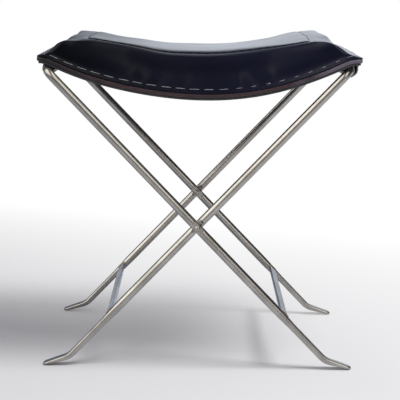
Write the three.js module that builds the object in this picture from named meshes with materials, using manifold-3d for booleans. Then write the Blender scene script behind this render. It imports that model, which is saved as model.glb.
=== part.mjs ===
// X frame stool: two crossed steel frames riveted together, a leather sling between their rails
// and a stitched leather cushion on the sling. Millimetres, +Z up, origin on the floor under the
// middle of the stool. X runs across the X of the frames and Y from front to rear.
import * as THREE from 'three';
import { mergeVertices } from 'three/addons/utils/BufferGeometryUtils.js';
import Module from 'manifold-3d';

const wasm = await Module();
wasm.setup();

// Frame bars
const barDiameter = 12.7;
const pivotHeight = 210;
const legLean = THREE.MathUtils.degToRad(43.7);
const pivotToRail = 312;
const legSpacing = 310.3;
const frameOffset = 14.3;
const railBendRadius = 14;
const railBendTail = 4;

// Forged feet: the round bar becomes a flat paddle that kicks outwards
const forgeStartHeight = 96;
const forgeEndHeight = 58;
const shankThickness = 9.5;
const shankWidth = 13.6;
const footBendRadius = 28;
const kickSlope = THREE.MathUtils.degToRad(16.5);
const kickLength = 40.5;
const heelThickness = 8;
const footWidth = 16;
const toeThickness = 5.2;
const toeLength = 6;
const floorTrim = 0.7;

// Rivets, the spacers between the bars and the burrs under the rivets' tails
const shankDiameter = 6;
const rivetHeadDiameter = 9;
const rivetHeadHeight = 3;
const tailDiameter = 8;
const tailHeight = 2.2;
const headFlatDepth = 1.6;
const contactFlatDepth = 0.8;
const flatLength = 20;
const spacerDiameter = 12;
const burrDiameter = 10;
const burrThickness = 1.2;

// Stretchers: flat bars brazed between the lower legs
const stretcherHeight = 78.5;
const stretcherWidth = 12.7;
const stretcherThickness = 4.8;

// Seat: leather layers that follow one sagging curve
const seatLowPoint = 393.5;
const slingThickness = 3;
const soleThickness = 5.5;
const soleHalfLength = 241;
const soleHalfWidth = 155;
const soleCornerRadius = 6;
const slingSetBack = 1.5;
const sleeveHalfLength = 131;
const sleeveThickness = 3;
const sleeveOpeningAngle = THREE.MathUtils.degToRad(35);

// Cushion: cover leather over a padding core
const coverThickness = 2;
const cushionHeight = 55.4;
const seamSetInFront = 27;
const seamSetInEnd = 50;
const endBelly = 12;
const cushionCornerRadius = 14;
const topCrown = 1.5;
const endFallShare = 0.29;

// Fits and cuts
const clearance = 0.3;
const overrun = 2;

// Counts of facets
const barSides = 18;
const boreSides = 24;
const bendSteps = 6;
const forgeSteps = 5;
const footBendSteps = 4;
const layerSteps = 24;
const layerCornerSteps = 3;
const sideSteps = 20;
const cornerSteps = 2;
const halfEndSteps = 3;
const sleeveSteps = 26;
const domeSteps = 5;

const barRadius = barDiameter / 2;
const legDown = new THREE.Vector3(Math.sin(legLean), 0, -Math.cos(legLean));
const legOut = new THREE.Vector3(Math.cos(legLean), 0, Math.sin(legLean));
const pivot = new THREE.Vector3(0, 0, pivotHeight);
const frontLegY = -(legSpacing + frameOffset) / 2;
const rearLegY = frontLegY + legSpacing;

const steel = { color: 0x9b958c, roughness: 0.35, metalness: 1 };
const steelDark = { color: 0x7d776e, roughness: 0.4, metalness: 1 };
const blackLeather = { color: 0x13141c, roughness: 0.3, metalness: 0 };
const slingLeather = { color: 0x23232b, roughness: 0.55, metalness: 0 };
const soleLeather = { color: 0x4b2f2b, roughness: 0.6, metalness: 0 };
const padding = { color: 0xc9bfa6, roughness: 0.95, metalness: 0 };

const mix = (a, b, share) => a + (b - a) * share;
const smooth = (share) => share * share * (3 - 2 * share);
const crowdToEnd = (share) => mix(share, Math.sin((Math.PI / 2) * share), 0.6);

// A closed solid from shared corners and triangles, turned so that its faces point out.
function solid(points, triangles) {
  const volume = triangles.reduce((sum, [a, b, c]) => {
    const cross = new THREE.Vector3().crossVectors(points[b], points[c]);
    return sum + points[a].dot(cross);
  }, 0);
  const facing = volume < 0 ? triangles.map(([a, b, c]) => [a, c, b]) : triangles;
  const geometry = new THREE.BufferGeometry();
  geometry.setAttribute(
    'position',
    new THREE.Float32BufferAttribute(points.flatMap((p) => [p.x, p.y, p.z]), 3),
  );
  geometry.setIndex(facing.flat());
  geometry.computeVertexNormals();
  return geometry;
}

// Triangles of the wall between ring `low` and ring `high`, each of `count` points.
function wall(low, high, count) {
  const triangles = [];
  for (let i = 0; i < count; i += 1) {
    const next = (i + 1) % count;
    triangles.push([low + i, low + next, high + next], [low + i, high + next, high + i]);
  }
  return triangles;
}

// Lofts one solid through rings of points, with a fan over each end.
function loft(rings) {
  const count = rings[0].length;
  const triangles = [];
  for (let k = 0; k + 1 < rings.length; k += 1) {
    triangles.push(...wall(k * count, (k + 1) * count, count));
  }
  const last = (rings.length - 1) * count;
  for (let i = 1; i + 1 < count; i += 1) {
    triangles.push([0, i + 1, i], [last, last + i, last + i + 1]);
  }
  return solid(rings.flat(), triangles);
}

// Boolean solids
function toManifold(geometry) {
  const bare = geometry.clone();
  bare.deleteAttribute('normal');
  bare.deleteAttribute('uv');
  const merged = mergeVertices(bare);
  const vertProperties = Float32Array.from(merged.attributes.position.array);
  const triVerts = Uint32Array.from(merged.index.array);
  return new wasm.Manifold(new wasm.Mesh({ numProp: 3, vertProperties, triVerts }));
}

function toGeometry(body) {
  const { vertProperties, triVerts } = body.getMesh();
  const geometry = new THREE.BufferGeometry();
  geometry.setAttribute('position', new THREE.Float32BufferAttribute(vertProperties, 3));
  geometry.setIndex(new THREE.Uint32BufferAttribute(triVerts, 1));
  geometry.computeVertexNormals();
  return geometry;
}

function cut(geometry, ...tools) {
  return toGeometry(tools.reduce((body, tool) => body.subtract(toManifold(tool)), toManifold(geometry)));
}

// A box with its length along the leg, its breadth along the bar's outward side and its depth in Y.
function boxOnLeg(length, depth, breadth, centre) {
  const box = new THREE.BoxGeometry(length, depth, breadth);
  const down = legDown.clone();
  const side = new THREE.Vector3().crossVectors(down, new THREE.Vector3(0, 1, 0));
  box.applyMatrix4(new THREE.Matrix4().makeBasis(down, new THREE.Vector3(0, 1, 0), side));
  box.translate(centre.x, centre.y, centre.z);
  return box;
}

// One ring of a bar: half sizes across the leg's outward side and along its breadth. An exponent
// of 2 is round, and larger ones are squarer.
function barRing({ centre, along, out, halfThickness, halfWidth, exponent }, extra) {
  const breadth = new THREE.Vector3().crossVectors(along, out);
  const ring = [];
  for (let i = 0; i < barSides; i += 1) {
    const angle = (2 * Math.PI * i) / barSides;
    const bulge = (value) => Math.sign(value) * Math.abs(value) ** (2 / exponent);
    ring.push(
      centre
        .clone()
        .addScaledVector(out, (halfThickness + extra) * bulge(Math.cos(angle)))
        .addScaledVector(breadth, (halfWidth + extra) * bulge(Math.sin(angle))),
    );
  }
  return ring;
}

// The toe narrows in plan and in thickness over its last length: how far along it, its width and
// its thickness. The height of its tip is such that the floor's trim wears a flat under it.
const toeShares = [
  [0, 1, 1],
  [0.55, 0.86, 0.86],
  [0.9, 0.62, 0.6],
  [1, 0.45, 0.4],
];
const toeDrops = toeShares.map(
  ([reachShare, , thicknessShare]) =>
    (toeThickness / 2) * thicknessShare * Math.cos(kickSlope) -
    toeLength * (1 - reachShare) * Math.sin(kickSlope),
);
const toeHeight = Math.max(...toeDrops) - floorTrim;

const legPoint = (distance, legY) =>
  pivot.clone().addScaledVector(legDown, distance).setY(legY);
const distanceAtHeight = (height) => (pivotHeight - height) / Math.cos(legLean);

// The bar of one leg: out of the rail, round the top corner, straight down to the forging and
// along the kicked foot. `side` is +1 where the rail lies towards +Y of the leg.
function legBar(legY, side, extra) {
  const rail = legPoint(-pivotToRail, legY);
  const toRail = new THREE.Vector3(0, side, 0);
  const round = { halfThickness: barRadius, halfWidth: barRadius, exponent: 2 };
  const stations = [];

  const tail = rail.clone().addScaledVector(toRail, railBendRadius + railBendTail);
  stations.push({ centre: tail, along: toRail.clone().negate(), out: legOut, ...round });
  const cornerCentre = rail
    .clone()
    .addScaledVector(legDown, railBendRadius)
    .addScaledVector(toRail, railBendRadius);
  for (let k = 0; k <= bendSteps; k += 1) {
    const turn = (Math.PI / 2) * (k / bendSteps);
    const centre = cornerCentre
      .clone()
      .addScaledVector(legDown, -railBendRadius * Math.cos(turn))
      .addScaledVector(toRail, -railBendRadius * Math.sin(turn));
    const along = toRail
      .clone()
      .multiplyScalar(-Math.cos(turn))
      .addScaledVector(legDown, Math.sin(turn));
    stations.push({ centre, along, out: legOut, ...round });
  }

  const forgeStart = distanceAtHeight(forgeStartHeight);
  const forgeEnd = distanceAtHeight(forgeEndHeight);
  for (let k = 0; k <= forgeSteps; k += 1) {
    const share = smooth(k / forgeSteps);
    stations.push({
      centre: legPoint(mix(forgeStart, forgeEnd, k / forgeSteps), legY),
      along: legDown,
      out: legOut,
      halfThickness: mix(barRadius, shankThickness / 2, share),
      halfWidth: mix(barRadius, shankWidth / 2, share),
      exponent: mix(2, 4, share),
    });
  }

  const kick = new THREE.Vector3(Math.cos(kickSlope), 0, -Math.sin(kickSlope));
  const kickOut = new THREE.Vector3(Math.sin(kickSlope), 0, Math.cos(kickSlope));
  const cornerHeight = toeHeight + kickLength * Math.sin(kickSlope);
  const corner = legPoint(distanceAtHeight(cornerHeight), legY);
  const turnAngle = Math.PI / 2 - legLean - kickSlope;
  const tangent = footBendRadius * Math.tan(turnAngle / 2);
  const bendStart = corner.clone().addScaledVector(legDown, -tangent);
  const bendCentre = bendStart.clone().addScaledVector(legOut, footBendRadius);
  for (let k = 0; k <= footBendSteps; k += 1) {
    const share = k / footBendSteps;
    const turn = turnAngle * share;
    const out = legOut.clone().applyAxisAngle(new THREE.Vector3(0, 1, 0), -turn);
    const along = legDown.clone().applyAxisAngle(new THREE.Vector3(0, 1, 0), -turn);
    stations.push({
      centre: bendCentre.clone().addScaledVector(out, -footBendRadius),
      along,
      out,
      halfThickness: mix(shankThickness, heelThickness, share) / 2,
      halfWidth: mix(shankWidth, footWidth, share) / 2,
      exponent: 4,
    });
  }
  for (const [reachShare, widthShare, thicknessShare] of toeShares) {
    const reach = kickLength - toeLength + toeLength * reachShare;
    stations.push({
      centre: corner.clone().addScaledVector(kick, reach),
      along: kick,
      out: kickOut,
      halfThickness: (toeThickness / 2) * thicknessShare,
      halfWidth: (footWidth / 2) * widthShare,
      exponent: 3,
    });
  }
  return loft(stations.map((station) => barRing(station, extra)));
}

// The leg as it is fitted: flats ground at the crossing, the rivet's hole, and the toe worn flat
// where it stands on the floor. The other frame lies towards +Y of both legs of this one.
function leg(legY, side) {
  const flat = (depth, facing) => {
    const reach = barRadius - depth + (barRadius + overrun) / 2;
    const centre = pivot.clone().setY(legY + facing * reach);
    return boxOnLeg(flatLength, barRadius + overrun, barDiameter + overrun, centre);
  };
  const hole = new THREE.CylinderGeometry(
    shankDiameter / 2 + clearance,
    shankDiameter / 2 + clearance,
    barDiameter + overrun,
    boreSides,
  ).translate(0, legY, pivotHeight);
  const floor = new THREE.BoxGeometry(2 * pivotToRail, 2 * footWidth, toeThickness + overrun);
  floor.translate(pivotToRail, legY, -(toeThickness + overrun) / 2);
  return cut(legBar(legY, side, 0), flat(headFlatDepth, -1), flat(contactFlatDepth, 1), hole, floor);
}

function seatRail() {
  const length = legSpacing - 2 * (railBendRadius + railBendTail + clearance);
  const centre = legPoint(-pivotToRail, (frontLegY + rearLegY) / 2);
  return new THREE.CylinderGeometry(barRadius, barRadius, length, barSides).translate(
    centre.x,
    centre.y,
    centre.z,
  );
}

// The stretcher's ends are hollowed to sit against the round legs.
function stretcher() {
  const centre = legPoint(distanceAtHeight(stretcherHeight), (frontLegY + rearLegY) / 2);
  centre.addScaledVector(legOut, stretcherThickness / 2);
  return cut(
    boxOnLeg(stretcherWidth, legSpacing, stretcherThickness, centre),
    legBar(frontLegY, 1, clearance),
    legBar(rearLegY, -1, clearance),
  );
}

// Rivet line: places along Y, from the head's side of the front crossing.
const headFlatY = frontLegY - (barRadius - headFlatDepth);
const spacerFrontY = frontLegY + (barRadius - contactFlatDepth) + clearance;
const spacerThickness = frameOffset - 2 * (barRadius - contactFlatDepth) - 2 * clearance;
const burrY = frontLegY + frameOffset + (barRadius - headFlatDepth) + clearance;

function dome(radius, height, baseY, facing) {
  const points = [];
  for (let k = 0; k <= domeSteps; k += 1) {
    const turn = (Math.PI / 2) * (k / domeSteps);
    points.push(new THREE.Vector2(radius * Math.sin(turn), baseY + facing * height * Math.cos(turn)));
  }
  return points;
}

function rivet() {
  const headY = headFlatY - clearance;
  const tailY = burrY + burrThickness + clearance;
  const head = dome(rivetHeadDiameter / 2, rivetHeadHeight, headY, -1);
  const tail = dome(tailDiameter / 2, tailHeight, tailY, 1).reverse();
  const shank = [
    new THREE.Vector2(shankDiameter / 2, headY),
    new THREE.Vector2(shankDiameter / 2, tailY),
  ];
  return new THREE.LatheGeometry([...head, ...shank, ...tail], boreSides);
}

function ringOnRivet(diameter, thickness, startY) {
  const inner = shankDiameter / 2 + clearance;
  const outer = diameter / 2;
  const endY = startY + thickness;
  const profile = [
    new THREE.Vector2(inner, startY),
    new THREE.Vector2(outer, startY),
    new THREE.Vector2(outer, endY),
    new THREE.Vector2(inner, endY),
    new THREE.Vector2(inner, startY),
  ];
  return new THREE.LatheGeometry(profile, boreSides);
}

// The seat's curve: an arc that sags between the rails and lies on both, and beyond each rail a
// straight run where the sole hangs free. Heights above it are measured square to the curve.
const railX = pivotToRail * Math.sin(legLean);
const railHeight = pivotHeight + pivotToRail * Math.cos(legLean);
const railReach = barRadius + clearance;
const lowToRail = railHeight - seatLowPoint + railReach;
const centreAboveRail = (railX ** 2 - lowToRail ** 2) / (2 * lowToRail);
const sagRadius = centreAboveRail + lowToRail - railReach;
const sagCentreHeight = railHeight + centreAboveRail;
const railAngle = Math.atan2(railX, centreAboveRail);
const railArc = sagRadius * railAngle;

function seatPoint(along, y, height) {
  const side = Math.sign(along);
  const distance = Math.abs(along);
  const angle = Math.min(distance, railArc) / sagRadius;
  const past = Math.max(distance - railArc, 0);
  const x = (sagRadius - height) * Math.sin(angle) + past * Math.cos(angle);
  const z = sagCentreHeight - (sagRadius - height) * Math.cos(angle) + past * Math.sin(angle);
  return new THREE.Vector3(side * x, y, z);
}

const soleBottom = slingThickness + clearance;
const soleTop = soleBottom + soleThickness;
const flangeBottom = soleTop + clearance;
const flangeTop = flangeBottom + coverThickness;

// Stations round the seat, from the middle of the left end along the front and back along the
// rear. Each is a place on the corner centres' rectangle, a direction out of it, how far it
// belongs to an end rather than a side, and its share of the end's belly.
function seatStations() {
  const half = [];
  const right = Math.PI / 2;
  for (let k = 0; k < halfEndSteps; k += 1) {
    const share = k / halfEndSteps;
    half.push({ across: -1, deep: -share, outX: -1, outY: 0, end: 1, belly: 1 - share ** 2 });
  }
  for (let k = 0; k < cornerSteps; k += 1) {
    const turn = right * (k / cornerSteps);
    const [outX, outY] = [-Math.cos(turn), -Math.sin(turn)];
    half.push({ across: -1, deep: -1, outX, outY, end: outX ** 2, belly: 0 });
  }
  for (let k = 0; k <= sideSteps / 2; k += 1) {
    const share = k / (sideSteps / 2);
    const across = -crowdToEnd(1 - share);
    half.push({ across, deep: -1, outX: 0, outY: -1, end: 0, belly: 0 });
  }
  const mirrored = half
    .slice(0, -1)
    .reverse()
    .map((s) => ({ ...s, across: -s.across, outX: -s.outX }));
  const front = [...half, ...mirrored];
  const rear = front
    .slice(1, -1)
    .reverse()
    .map((s) => ({ ...s, deep: -s.deep, outY: -s.outY }));
  return [...front, ...rear];
}
const stations = seatStations();

// One ring round the seat. `front` and `end` say how far it is set in from the sole's edge, and
// the two heights are those over the sides and over the ends.
function seatRing({ frontHeight, endHeight, front, end, belly, corner, crown = 0 }) {
  const halfWidth = soleHalfWidth - front;
  const radius = Math.min(corner, halfWidth);
  const halfLength = soleHalfLength - end - belly;
  return stations.map((s) => {
    const y = s.deep * (halfWidth - radius) + s.outY * radius;
    const along =
      s.across * (halfLength - radius) + s.outX * radius + Math.sign(s.outX) * belly * s.belly;
    const level = mix(frontHeight, endHeight, s.end);
    const archFront = 1 - (y / (soleHalfWidth - seamSetInFront)) ** 2;
    const archEnd = 1 - (along / (soleHalfLength - seamSetInEnd)) ** 4;
    const arch = crown * archFront * archEnd;
    const raised = Math.max(level - flangeTop, 0);
    const fall = 1 - endFallShare * (along / soleHalfLength) ** 2;
    return seatPoint(along, y, level - raised + (raised + arch) * fall);
  });
}

// Triangles that close a ring across its middle, from its front half to its rear half.
function closeAcross(first) {
  const count = stations.length;
  const triangles = [[first, first + 1, first + count - 1]];
  for (let i = 1; i + 1 < count / 2; i += 1) {
    const [a, b] = [first + i, first + i + 1];
    const [c, d] = [first + count - i, first + count - i - 1];
    triangles.push([a, b, d], [a, d, c]);
  }
  const middle = first + count / 2;
  triangles.push([middle - 1, middle, middle + 1]);
  return triangles;
}

// A solid through rings round the seat, closed across its first and last ring.
function closedRings(levels) {
  const rings = levels.map(seatRing);
  const count = stations.length;
  const triangles = [];
  for (let k = 0; k + 1 < rings.length; k += 1) {
    triangles.push(...wall(k * count, (k + 1) * count, count));
  }
  const underside = closeAcross(0).map(([a, b, c]) => [a, c, b]);
  return solid(rings.flat(), [...triangles, ...underside, ...closeAcross((rings.length - 1) * count)]);
}

// The outside of the cushion from the sewn flange to the top seam, as shares: height above the
// flange, set in from the front, set in from the end, the end's belly, the corner radius.
const sectionShares = [
  [0, 0, 0, 0, 0.43],
  [0.006, 0.22, 0.12, 0, 0.5],
  [0.052, 0.29, 0.16, 0.25, 0.7],
  [0.16, 0.315, 0.2, 0.5, 0.85],
  [0.41, 0.29, 0.29, 0.8, 1],
  [0.67, 0.3, 0.42, 1, 1],
  [0.86, 0.37, 0.57, 0.95, 1],
  [0.965, 0.5, 0.73, 0.8, 1],
  [1, 0.72, 0.88, 0.5, 1],
  [0.98, 1, 1, 0.3, 1],
];
const faceStart = 2;

function outerSection() {
  return sectionShares.map(([height, front, end, belly, corner]) => ({
    frontHeight: flangeTop + height * cushionHeight,
    endHeight: flangeTop + height * cushionHeight,
    front: front * seamSetInFront,
    end: end * seamSetInEnd,
    belly: belly * endBelly,
    corner: corner * cushionCornerRadius,
  }));
}

// Moves one outline of the section inwards, square to itself.
function offsetOutline(outline, distance) {
  return outline.map(([inset, height], k) => {
    const before = outline[Math.max(k - 1, 0)];
    const after = outline[Math.min(k + 1, outline.length - 1)];
    const run = new THREE.Vector2(after[0] - before[0], after[1] - before[1]).normalize();
    return [inset + run.y * distance, height - run.x * distance];
  });
}

// The cushion's face and top edge, set in by a leather's thickness or more.
function innerSection(distance) {
  const face = outerSection().slice(faceStart);
  const sides = offsetOutline(face.map((r) => [r.front, r.frontHeight]), distance);
  const ends = offsetOutline(face.map((r) => [r.end, r.endHeight]), distance);
  return face.map((r, k) => ({
    ...r,
    front: sides[k][0],
    frontHeight: sides[k][1],
    end: ends[k][0],
    endHeight: ends[k][1],
  }));
}

const atHeight = (ring, height) => ({ ...ring, frontHeight: height, endHeight: height });

function coverBorder() {
  const outer = outerSection();
  const inner = innerSection(coverThickness);
  const rim = { ...outer.at(-1) };
  rim.frontHeight -= coverThickness;
  rim.endHeight -= coverThickness;
  const foot = atHeight(inner[1], flangeBottom);
  const edge = atHeight(outer[0], flangeBottom);
  const loop = [...outer, rim, ...inner.slice(1, -1).reverse(), foot, edge];
  const rings = loop.map(seatRing);
  const count = stations.length;
  const triangles = rings.flatMap((_, k) =>
    wall(k * count, ((k + 1) % rings.length) * count, count),
  );
  return solid(rings.flat(), triangles);
}

// Rings of the top panel, from its sewn edge towards the middle, as shares of the seam's reach.
const panelShares = [0, 0.3, 0.65, 0.93];

function panelRings(sunk) {
  const seam = outerSection().at(-1);
  const height = seam.frontHeight - sunk;
  return panelShares.map((share) => ({
    ...seam,
    front: seam.front + clearance + share * (soleHalfWidth - seam.front - clearance),
    end: seam.end + clearance + share * (soleHalfWidth - seam.front - clearance),
    frontHeight: height,
    endHeight: height,
    belly: mix(seam.belly, endBelly, share),
    corner: seam.corner * (1 - share),
    crown: topCrown,
  }));
}

function coverTop() {
  return closedRings([...panelRings(coverThickness).reverse(), ...panelRings(0)]);
}

function paddingCore() {
  const skin = innerSection(coverThickness + clearance).slice(1, -1);
  const foot = atHeight(skin[0], soleTop + clearance);
  const top = panelRings(coverThickness + clearance);
  return closedRings([...top.reverse(), ...skin.reverse(), foot]);
}

// A flat leather that follows the seat's curve, with its corners rounded in plan.
function leatherLayer(halfLength, halfWidth, corner, bottom, top) {
  const places = [];
  for (let k = 0; k <= layerSteps; k += 1) {
    places.push([mix(corner - halfLength, halfLength - corner, k / layerSteps), halfWidth]);
  }
  for (let k = 1; k <= layerCornerSteps && corner > 0; k += 1) {
    const turn = (Math.PI / 2) * (k / layerCornerSteps);
    const along = halfLength - corner + corner * Math.sin(turn);
    const across = halfWidth - corner + corner * Math.cos(turn);
    places.push([along, across]);
    places.unshift([-along, across]);
  }
  return loft(
    places.map(([along, across]) => [
      seatPoint(along, -across, bottom),
      seatPoint(along, across, bottom),
      seatPoint(along, across, top),
      seatPoint(along, -across, top),
    ]),
  );
}

// The sleeve wraps the rail from the sling's end, over the outside and back under the sling. Its
// outside is pressed flat under the sole and under the sling.
function sleeve() {
  const inner = railReach;
  const underSole = railReach + slingThickness;
  const underSling = railReach - clearance;
  const start = clearance / inner;
  const sweep = 2 * Math.PI - sleeveOpeningAngle - start;
  const outside = [];
  const inside = [];
  for (let k = 0; k <= sleeveSteps; k += 1) {
    const turn = start + sweep * (k / sleeveSteps);
    const lean = Math.cos(turn);
    const room = lean > 0 ? (turn < Math.PI ? underSole : underSling) / lean : Infinity;
    const bearing = Math.PI / 2 + railAngle - turn;
    const at = (reach) =>
      new THREE.Vector2(
        railX + reach * Math.cos(bearing),
        railHeight + reach * Math.sin(bearing),
      );
    outside.push(at(Math.min(inner + sleeveThickness, room)));
    inside.push(at(inner));
  }
  const shape = new THREE.Shape([...outside, ...inside.reverse()]);
  const depth = 2 * sleeveHalfLength;
  const geometry = new THREE.ExtrudeGeometry(shape, { depth, bevelEnabled: false });
  return geometry.rotateX(Math.PI / 2).translate(0, sleeveHalfLength, 0);
}

function piece(name, geometry, look) {
  const mesh = new THREE.Mesh(geometry, new THREE.MeshStandardMaterial(look));
  mesh.name = name;
  return mesh;
}

// One frame and what stays on it. Frame B is the same frame turned half way round.
function frame(letter) {
  const group = new THREE.Group();
  const turned = letter === 'b';
  const nearLeg = turned ? 'rear' : 'front';
  const farLeg = turned ? 'front' : 'rear';
  group.add(
    piece(`frame_${letter}_${nearLeg}_leg`, leg(frontLegY, 1), steel),
    piece(`frame_${letter}_${farLeg}_leg`, leg(rearLegY, -1), steel),
    piece(`frame_${letter}_seat_rail`, seatRail(), steel),
    piece(`frame_${letter}_stretcher`, stretcher(), steel),
  );
  const wrap = piece(`sling_sleeve_${letter}`, sleeve(), slingLeather);
  wrap.rotation.z = Math.PI;
  group.add(wrap);
  group.rotation.z = turned ? Math.PI : 0;
  return group;
}

// One crossing's rivet, spacer and burr. The rear crossing is the front one turned half way round.
function crossing(place) {
  const group = new THREE.Group();
  group.add(
    piece(`rivet_${place}`, rivet(), steel),
    piece(`pivot_spacer_${place}`, ringOnRivet(spacerDiameter, spacerThickness, spacerFrontY), steelDark),
    piece(`rivet_burr_${place}`, ringOnRivet(burrDiameter, burrThickness, burrY), steelDark),
  );
  group.position.z = pivotHeight;
  group.rotation.z = place === 'rear' ? Math.PI : 0;
  return group;
}

function seat() {
  const group = new THREE.Group();
  const slingLayer = leatherLayer(railArc, soleHalfWidth - slingSetBack, 0, 0, slingThickness);
  const soleLayer = leatherLayer(
    soleHalfLength,
    soleHalfWidth,
    soleCornerRadius,
    soleBottom,
    soleTop,
  );
  group.add(
    piece('sling', slingLayer, slingLeather),
    piece('sole', soleLayer, soleLeather),
    piece('padding_core', paddingCore(), padding),
    piece('cover_border', coverBorder(), blackLeather),
    piece('cover_top_panel', coverTop(), blackLeather),
  );
  return group;
}

const stool = new THREE.Group();
stool.add(frame('a'), frame('b'), crossing('front'), crossing('rear'), seat());

export default stool;
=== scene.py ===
# %% [markdown]
# # A folding stool: crossed steel frames under a padded leather seat
#
# The stool has two steel frames that cross like an X. Each is one bar, bent at the top corners and
# forged into flat feet, and a leather sling hangs between the two top rails. A thick sole of
# leather and a stitched cushion lie on the sling. This lesson dresses the plain solids of the
# stool, one piece at a time, and lights them as in a small studio.
#
# All sizes are real ones. They are written in millimetres, because a maker measures in them, and
# one helper turns them into Blender's metres.

import math

import bmesh
import bpy
import numpy as np
from mathutils import Matrix, Vector


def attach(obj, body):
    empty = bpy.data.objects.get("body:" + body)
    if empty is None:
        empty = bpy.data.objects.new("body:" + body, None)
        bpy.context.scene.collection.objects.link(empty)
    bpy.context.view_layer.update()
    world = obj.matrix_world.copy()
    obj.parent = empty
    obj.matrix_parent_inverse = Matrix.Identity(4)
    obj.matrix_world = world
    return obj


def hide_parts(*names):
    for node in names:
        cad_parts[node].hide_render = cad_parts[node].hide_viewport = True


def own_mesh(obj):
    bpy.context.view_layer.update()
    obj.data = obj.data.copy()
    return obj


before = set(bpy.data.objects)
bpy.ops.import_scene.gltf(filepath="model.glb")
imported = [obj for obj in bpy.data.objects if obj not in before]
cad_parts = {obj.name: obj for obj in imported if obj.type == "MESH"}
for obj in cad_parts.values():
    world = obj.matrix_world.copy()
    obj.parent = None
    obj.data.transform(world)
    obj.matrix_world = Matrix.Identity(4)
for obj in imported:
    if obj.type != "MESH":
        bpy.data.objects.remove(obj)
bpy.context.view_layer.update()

# %% [markdown]
# ## The camera
#
# The photograph is a product shot from two metres away and just above seat height, with a long
# lens, so the bars stay nearly parallel. The camera could be placed by eye, but here its place was
# worked out from the feet, the rivets and the rails, whose real places are known. It is aimed with
# three directions: where it looks, what is right and what is up. A small roll tips the picture by
# less than half a degree, as the photograph is tipped.

# %% Place the camera
MM = 0.001
picture_width = 400
focal_pixels = 1300
camera_place = np.array([-4.05, -2003.3, 578.5])
camera_yaw, camera_pitch, camera_roll = 0.004, 0.176, 0.0075


def aim_camera():
    """A camera whose matrix has right, up and backwards as its first three columns."""
    looks = np.array([
        math.sin(camera_yaw) * math.cos(camera_pitch),
        math.cos(camera_yaw) * math.cos(camera_pitch),
        -math.sin(camera_pitch),
    ])
    level_right = np.array([math.cos(camera_yaw), -math.sin(camera_yaw), 0])
    level_up = np.cross(level_right, looks)
    right = level_right * math.cos(camera_roll) + level_up * math.sin(camera_roll)
    up = level_up * math.cos(camera_roll) - level_right * math.sin(camera_roll)
    data = bpy.data.cameras.new("camera")
    data.lens = data.sensor_width * focal_pixels / picture_width
    camera = bpy.data.objects.new("camera", data)
    turn = np.eye(4)
    turn[:3, 0], turn[:3, 1], turn[:3, 2] = right, up, -looks
    turn[:3, 3] = camera_place * MM
    camera.matrix_world = Matrix(turn.tolist())
    bpy.context.scene.collection.objects.link(camera)
    bpy.context.scene.camera = camera
    return camera


camera = aim_camera()
print("lens:", round(camera.data.lens), "mm")

# %% [markdown]
# ## Sums inside materials
#
# A finish is a small sum: so much grain, a little wear, a share of noise. Blender needs a node for
# each step, and a chain of them is hard to read. So one class wraps a socket that carries a
# number and knows the arithmetic signs: `0.5 - worn` then adds the Math node by itself. Colours
# are mixed with Mix nodes, since a Math node would turn them grey.

# %% A number on a socket, and a finish that holds nodes
class Amount:
    """A number that a node works out for each point of a surface."""

    def __init__(self, finish, socket):
        self.finish = finish
        self.socket = socket

    def sum(self, operation, first, second):
        node = self.finish.node("ShaderNodeMath", {"operation": operation}, {0: first, 1: second})
        return Amount(self.finish, node.outputs[0])

    def __add__(self, other):
        return self.sum("ADD", self, other)

    __radd__ = __add__

    def __sub__(self, other):
        return self.sum("SUBTRACT", self, other)

    def __rsub__(self, other):
        return self.sum("SUBTRACT", other, self)

    def __mul__(self, other):
        return self.sum("MULTIPLY", self, other)

    __rmul__ = __mul__

    def absolute(self):
        return self.sum("ABSOLUTE", self, 0)

    def wave(self):
        return self.sum("SINE", self, 0)


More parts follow.
